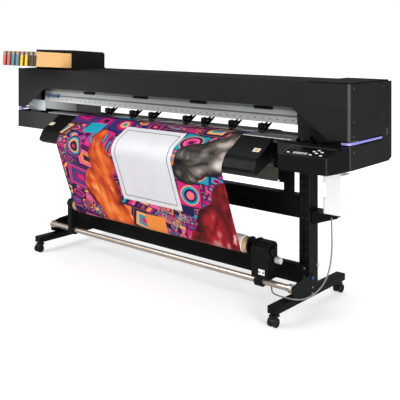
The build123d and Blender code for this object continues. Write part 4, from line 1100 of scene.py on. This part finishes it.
def apron_labels():
    """Plain two-tone labels on the sloping face of the apron."""
    brow, cheek = Vector(LABEL_BROW), Vector(LABEL_CHEEK)
    along = (cheek - brow).normalized()
    outward = Vector((along.y, -along.x))
    if outward.y < 0:
        outward = -outward
    middle = brow.lerp(cheek, 0.36)
    for name, x in LABELS_X.items():
        bm = bmesh.new()
        for layer in LABEL_LAYERS:
            label_layer(bm, x, middle, along, outward, layer)
        label = finish_mesh(name, bm, MATERIALS["label_white"], shade=False)
        label.data.materials.append(MATERIALS["label_yellow"])


def panel_slab(bm, x_span, y_span, z_span):
    """A flat bar in the key panel's own axes: across, up the slope and out of it."""
    right = Vector((1, 0, 0))
    up = Vector((0, math.cos(KEY_PANEL_SLOPE), math.sin(KEY_PANEL_SLOPE)))
    axes = (right, up, right.cross(up))
    spans = (x_span, y_span, z_span)
    middle = Vector(KEY_PANEL_ORIGIN)
    for axis, (low, high) in zip(axes, spans):
        middle += axis * (low + high) / 2
    for vert in bmesh.ops.create_cube(bm, size=1.0)["verts"]:
        place = middle.copy()
        for axis, share, (low, high) in zip(axes, vert.co, spans):
            place += axis * share * (high - low)
        vert.co = place


def display_details():
    """The lit window of the key panel, and pale strips at its back and left edges as a painted highlight
    on its raised edge.
    """
    bm = bmesh.new()
    panel_slab(bm, (-0.074, 0.004), (-0.042, -0.022), (0.0, 0.0007))
    finish_mesh("display_window", bm, MATERIALS["display_glass"], shade=False)
    bm = bmesh.new()
    for left in (-0.064, -0.043, -0.022):
        panel_slab(bm, (left, left + 0.014), (-0.036, -0.031), (0.0006, 0.0010))
    finish_mesh("display_bars", bm, MATERIALS["slot_grey"], shade=False)
    # Painted highlight: pale strips along the panel's back and left edges.
    bm = bmesh.new()
    panel_slab(bm, (-0.130, 0.130), (0.0435, 0.0485), (0.0003, 0.0014))
    panel_slab(bm, (-0.129, -0.125), (-0.048, 0.0435), (0.0003, 0.0014))
    finish_mesh("panel_edge_highlight", bm, MATERIALS["trim_grey"], shade=False)


side_details()
apron_labels()
display_details()


# ---- floor and light ---------------------------------------------------------
FLOOR_HALF = 30.0
FLOOR_CENTRE = (0.2, 0.1)
FLOOR_FADE = (2.6, 2.1)
WORLD_ON_MACHINE = 0.27
# Each lamp: name, place, target, size and power.
LAMPS = (
    ("key", (-2.5, -4.0, 3.6), (-0.2, 0.0, 0.8), (3.0, 2.0), 175.0),
    ("corner", (4.1, -1.7, 0.9), (1.39, -0.21, 1.0), (1.5, 2.2), 185.0),
    ("bay", (-1.75, -0.95, 0.80), (-1.25, -0.14, 1.0), (0.35, 0.35), 2.4),
    ("top", (0.0, 0.5, 4.2), (0.0, 0.0, 0.9), (4.0, 2.0), 90.0),
    ("strip", (3.9, -3.6, 1.5), (1.4, -0.2, 1.0), (0.35, 2.6), 8.0),
)


def pale_floor():
    """A pale floor with a painted glow seen only by the camera, half strength near the machine and lifting
    to the backdrop's white away from it.
    """
    bm = bmesh.new()
    bmesh.ops.create_grid(bm, x_segments=1, y_segments=1, size=FLOOR_HALF)
    mesh = bpy.data.meshes.new("floor")
    bm.to_mesh(mesh)
    bm.free()
    tree = painted("floor", (0.62, 0.64, 0.8, {"bump": 0.0, "patch": 0.5, "specular": 0.1}))
    x, y, _ = tree.split(tree.place)
    far_x = tree.maths("DIVIDE", tree.minus(x, FLOOR_CENTRE[0]), FLOOR_FADE[0])
    far_y = tree.maths("DIVIDE", tree.minus(y, FLOOR_CENTRE[1]), FLOOR_FADE[1])
    # Painted glow: camera-only emission that runs from half strength near the machine to full strength far
    # from it.
    lift = tree.remap(tree.squares(far_x, far_y), 0.15, 1.0, 0.50, 1.0)
    seen = tree.nodes.new("ShaderNodeLightPath").outputs["Is Camera Ray"]
    tree.shader.inputs["Emission Color"].default_value = (1.0, 1.0, 1.0, 1.0)
    tree.join(tree.times(seen, lift), tree.shader.inputs["Emission Strength"])
    mesh.materials.append(tree.material)
    floor = bpy.data.objects.new("floor", mesh)
    bpy.context.scene.collection.objects.link(floor)


def soft_light(name, place, target, size, power):
    data = bpy.data.lights.new(name, "AREA")
    data.shape = "RECTANGLE"
    data.size, data.size_y = size
    data.energy = power
    lamp = bpy.data.objects.new(name, data)
    lamp.location = place
    lamp.rotation_euler = (Vector(target) - Vector(place)).to_track_quat("-Z", "Y").to_euler()
    bpy.context.scene.collection.objects.link(lamp)


def studio():
    """A white backdrop to the camera, dimmer light from it on the machine, and the soft lamps."""
    world = bpy.data.worlds.new("studio")
    world.use_nodes = True
    nodes = world.node_tree.nodes
    links = world.node_tree.links
    background = nodes["Background"]
    background.inputs["Color"].default_value = (1.0, 1.0, 1.0, 1.0)
    path = nodes.new("ShaderNodeLightPath")
    strength = nodes.new("ShaderNodeMapRange")
    strength.inputs["To Min"].default_value = WORLD_ON_MACHINE
    strength.inputs["To Max"].default_value = 1.0
    links.new(path.outputs["Is Camera Ray"], strength.inputs["Value"])
    links.new(strength.outputs["Result"], background.inputs["Strength"])
    bpy.context.scene.world = world
    for lamp in LAMPS:
        soft_light(*lamp)


pale_floor()
studio()
